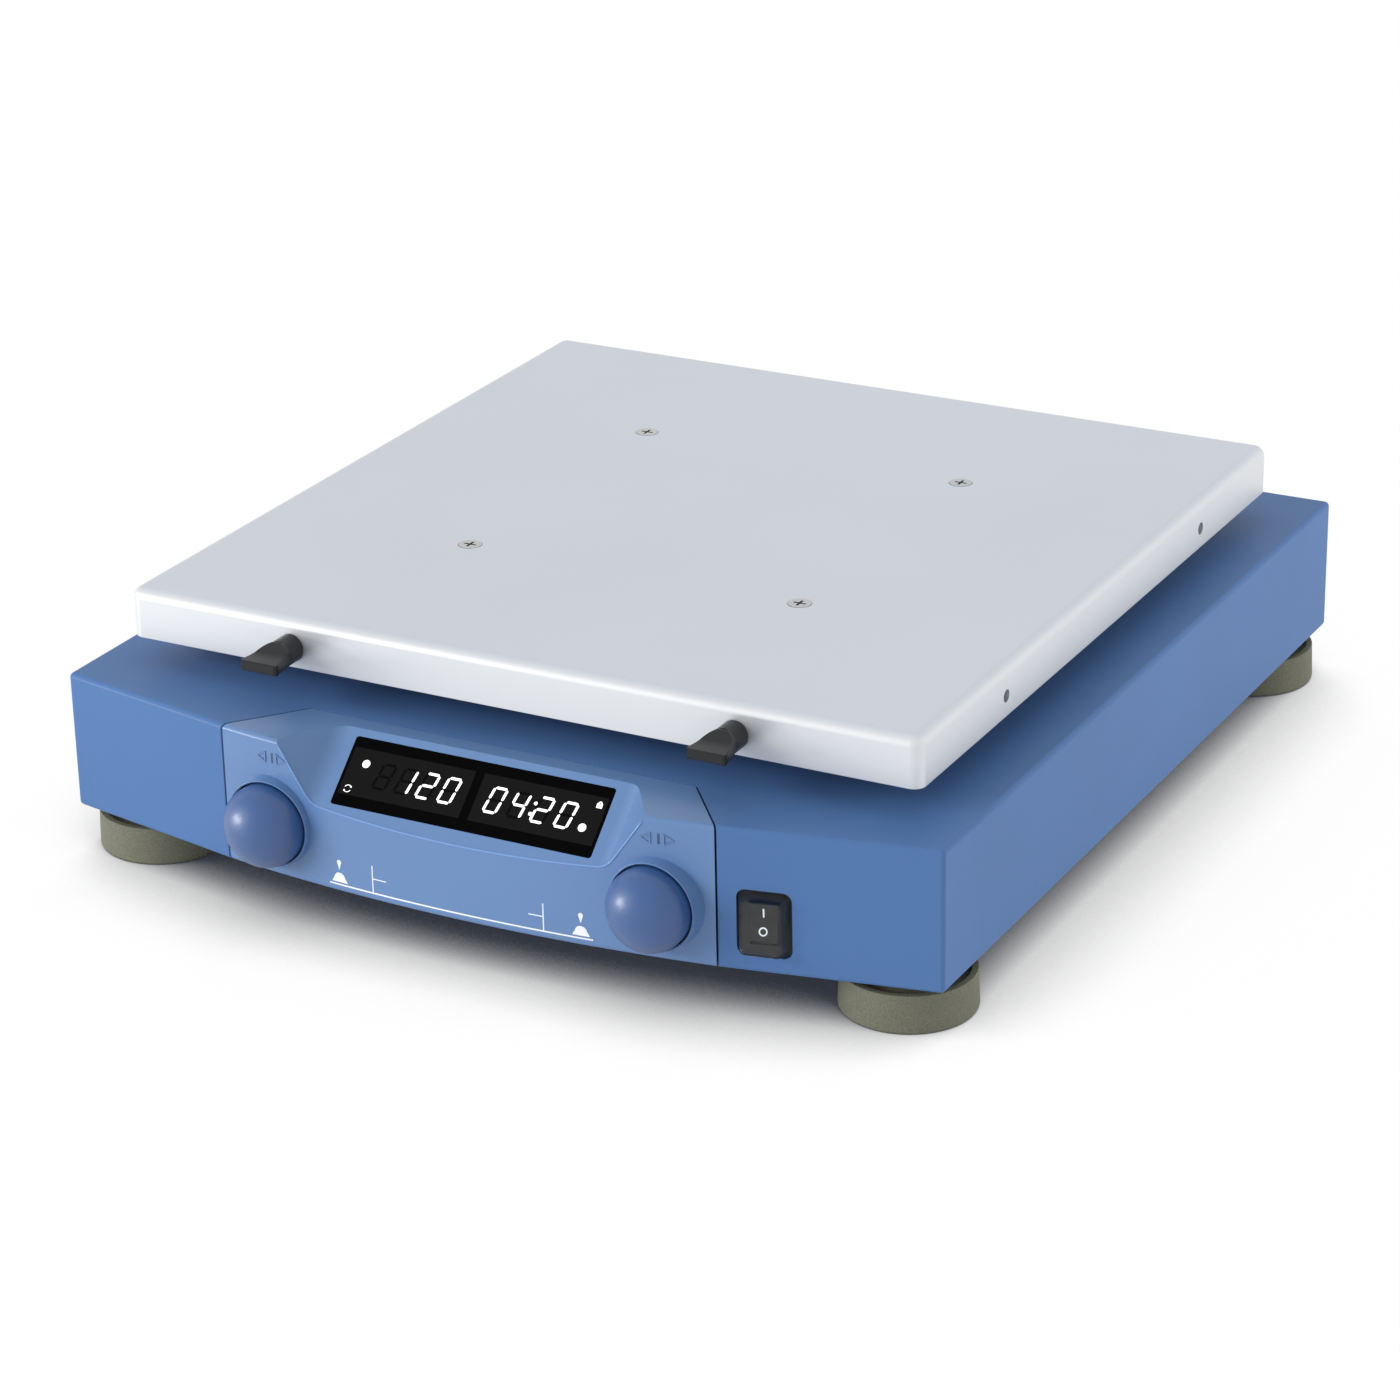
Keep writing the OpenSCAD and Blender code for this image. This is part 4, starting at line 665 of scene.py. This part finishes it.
def knob_marks(finishes):
    """Raised arrowheads and a bar above each knob; the bar is a dark plate, painted shade standing for a recessed
    groove.
    """
    raised, bar = bmesh.new(), bmesh.new()
    for joint in ("speed_knob_turn", "timer_knob_turn"):
        x = JOINTS[joint]["pos_m"][0]
        for side in (-1, 1):
            add_arrow_outline(raised, x, side)
        left, right = x + BAR_LEFT, x + BAR_RIGHT
        low, high = KNOB_MARK_Z - BAR_HALF, KNOB_MARK_Z + BAR_HALF
        add_plate(bar, front_place, [(left, low), (right, low), (right, high), (left, high)])
    make_piece("knob_arrows", "base", finishes["panel_plastic"], raised)
    # Painted shade: each bar is a flat plate in the panel blue darkened to about a third, in place of the shade in
    # a groove
    dark = finish("knob_bars", shade(PANEL_BLUE, 0.35), 0.5, relief=0.01)
    make_piece("knob_bars", "base", dark, bar)


def add_arrow_outline(bm, x, side):
    """The raised rim of an arrowhead that points away from the bar."""
    middle = x + KNOB_MARK_SHIFT

    def triangle(grow):
        tip = middle + side * (ARROW_TIP + 1.6 * grow)
        foot = middle + side * (ARROW_FOOT - grow)
        half = ARROW_HALF + 1.2 * grow
        return [(tip, KNOB_MARK_Z), (foot, KNOB_MARK_Z + half), (foot, KNOB_MARK_Z - half)]
    add_band(bm, front_place, triangle(-ARROW_WALL), triangle(0), high=ARROW_RELIEF, closed=True)


# Power switch

def rocker_marks():
    """The bar and the circle on the two faces of the rocker."""
    hinge = JOINTS["power_rocker_swing"]
    axis = Vector(hinge["axis"]).normalized()
    pivot = Vector(hinge["pos_m"])
    up = Vector((0, 0, 1))
    inwards = up.cross(axis)
    tilt = Matrix.Rotation(ROCKER_TILT, 3, axis)
    lean = math.atan2(ROCKER_CREASE[0] - ROCKER_TIP[0], ROCKER_TIP[1])
    bm = bmesh.new()
    for side in (1, -1):
        rise = inwards * -math.sin(lean) + up * side * math.cos(lean)
        out = -inwards * math.cos(lean) - up * side * math.sin(lean)

        def place(u, v, height):
            point = inwards * ROCKER_CREASE[0] + axis * u + rise * v + out * height
            return pivot + tilt @ point
        if side == 1:
            half, low, high = 0.3 * MM, 2 * MM, 5.4 * MM
            add_plate(bm, place, [(-half, low), (half, low), (half, high), (-half, high)])
        else:
            middle, inner, outer = 3.4 * MM, 1.1 * MM, 1.65 * MM
            add_band(bm, place, circle(0, middle, inner), circle(0, middle, outer), closed=True)
    white = finish("switch_print", linear(240, 241, 242), 0.5, grain=1600, relief=0.003)
    make_piece("rocker_marks", "rocker", white, bm)


# Studio

AMBIENT = 0.6
LAMP_TARGET = Vector((0, 0, 0.05))
FLOOR_RADIUS = 8
SHADOW_REACH = 0.19
SHADOW_RAMP = (0.12, 0.74)
SHADOW_TINT = linear(44, 48, 58)
WHITE_NEAR = 0.3
WHITE_FAR = 0.55
WHITE_SHARE = 0.985


def add_area(name, place, size, power, diffuse=True):
    """A soft lamp aimed at the object: it lights surfaces, or only shows as a reflection in them."""
    data = bpy.data.lights.new(name, "AREA")
    data.shape = "RECTANGLE"
    data.size, data.size_y = size
    data.energy = power
    lamp = bpy.data.objects.new(name, data)
    bpy.context.scene.collection.objects.link(lamp)
    lamp.location = place
    lamp.visible_diffuse = diffuse
    lamp.visible_glossy = not diffuse
    lamp.rotation_mode = "QUATERNION"
    lamp.rotation_quaternion = (LAMP_TARGET - Vector(place)).to_track_quat("-Z", "Y")


def seen_ray(tree):
    """1 for the rays that show the surroundings, 0 for those that light the object."""
    rays = tree.nodes.new("ShaderNodeLightPath")
    either = rays.outputs["Is Camera Ray"]
    for ray in ("Is Glossy Ray", "Is Transmission Ray"):
        most = tree.nodes.new("ShaderNodeMath")
        most.operation = "MAXIMUM"
        tree.links.new(either, most.inputs[0])
        tree.links.new(rays.outputs[ray], most.inputs[1])
        either = most.outputs[0]
    return either


def studio():
    """White surroundings, dimmer where they light the object, and three lamps."""
    world = bpy.data.worlds.new("studio")
    bpy.context.scene.world = world
    world.use_nodes = True
    tree = world.node_tree
    background = tree.nodes["Background"]
    background.inputs["Color"].default_value = (1, 1, 1, 1)
    strength = tree.nodes.new("ShaderNodeMapRange")
    strength.inputs["To Min"].default_value = AMBIENT
    strength.inputs["To Max"].default_value = 1.0
    tree.links.new(seen_ray(tree), strength.inputs["Value"])
    tree.links.new(strength.outputs["Result"], background.inputs["Strength"])
    add_area("key", place=(-1.8, -2.0, 1.05), size=(1.8, 1.1), power=56)
    add_area("side", place=(1.8, 0.9, 0.6), size=(1.4, 0.9), power=17)
    add_area("glint", place=(-2.2, -1.7, 0.05), size=(0.8, 0.6), power=55, diffuse=False)


def floor():
    """Lit as any floor, but seen as white, with a soft shadow under and beside the object."""
    nodes = Nodes("floor")
    grain = nodes.noise(40)
    nodes.link(nodes.ramp(grain, 0.3, 0.7, (0.93, 0.93, 0.935, 1), (0.95, 0.95, 0.95, 1)),
               nodes.shader.inputs["Base Color"])
    nodes.set(Roughness=1.0, Specular_IOR_Level=0.0)
    shut = nodes.add("ShaderNodeAmbientOcclusion", Distance=SHADOW_REACH)
    shut.samples = 16
    glow_shader = nodes.add("ShaderNodeEmission")
    nodes.link(nodes.ramp(shut.outputs["AO"], *SHADOW_RAMP, SHADOW_TINT, (1, 1, 1, 1)),
               glow_shader.inputs["Color"])
    away = nodes.add("ShaderNodeVectorMath")
    away.operation = "LENGTH"
    nodes.link(nodes.coordinates.outputs["Object"], away.inputs[0])
    share = nodes.add("ShaderNodeMapRange", From_Min=WHITE_NEAR, From_Max=WHITE_FAR,
                      To_Min=WHITE_SHARE, To_Max=1.0)
    nodes.link(away.outputs["Value"], share.inputs["Value"])
    seen = nodes.add("ShaderNodeMath")
    seen.operation = "MULTIPLY"
    nodes.link(seen_ray(nodes.tree), seen.inputs[0])
    nodes.link(share.outputs["Result"], seen.inputs[1])
    mix = nodes.add("ShaderNodeMixShader")
    nodes.link(seen.outputs[0], mix.inputs["Fac"])
    nodes.link(nodes.shader.outputs[0], mix.inputs[1])
    nodes.link(glow_shader.outputs[0], mix.inputs[2])
    nodes.link(mix.outputs[0], nodes.tree.nodes["Material Output"].inputs["Surface"])
    bm = bmesh.new()
    bmesh.ops.create_circle(bm, cap_ends=True, segments=96, radius=FLOOR_RADIUS)
    mesh = bpy.data.meshes.new("floor")
    bm.to_mesh(mesh)
    bm.free()
    mesh.materials.append(nodes.material)
    obj = bpy.data.objects.new("floor", mesh)
    bpy.context.scene.collection.objects.link(obj)


def camera():
    """The camera of the photograph."""
    data = bpy.data.cameras.new("camera")
    data.lens = CAMERA_LENS
    data.sensor_width = SENSOR_WIDTH
    data.clip_start, data.clip_end = 0.05, 30
    obj = bpy.data.objects.new("camera", data)
    bpy.context.scene.collection.objects.link(obj)
    level = math.cos(CAMERA_ELEVATION)
    back = Vector((math.sin(CAMERA_AZIMUTH) * level, -math.cos(CAMERA_AZIMUTH) * level,
                   math.sin(CAMERA_ELEVATION)))
    look = (-back).to_track_quat("-Z", "Y").to_matrix() @ Matrix.Rotation(CAMERA_ROLL, 3, "Z")
    obj.matrix_world = Matrix.Translation(CAMERA_PLACE) @ look.to_4x4()
    bpy.context.scene.camera = obj


finishes = dress_nodes()
smooth_below = smooth_group(CREASE_ANGLE)
for node_name in NODES:
    soften(node_name, smooth_below)
display()
slope_lip()
collar_lips(finishes)
front_strip()
knob_marks(finishes)
rocker_marks()
studio()
floor()
camera()
bpy.context.scene.view_settings.view_transform = "Standard"
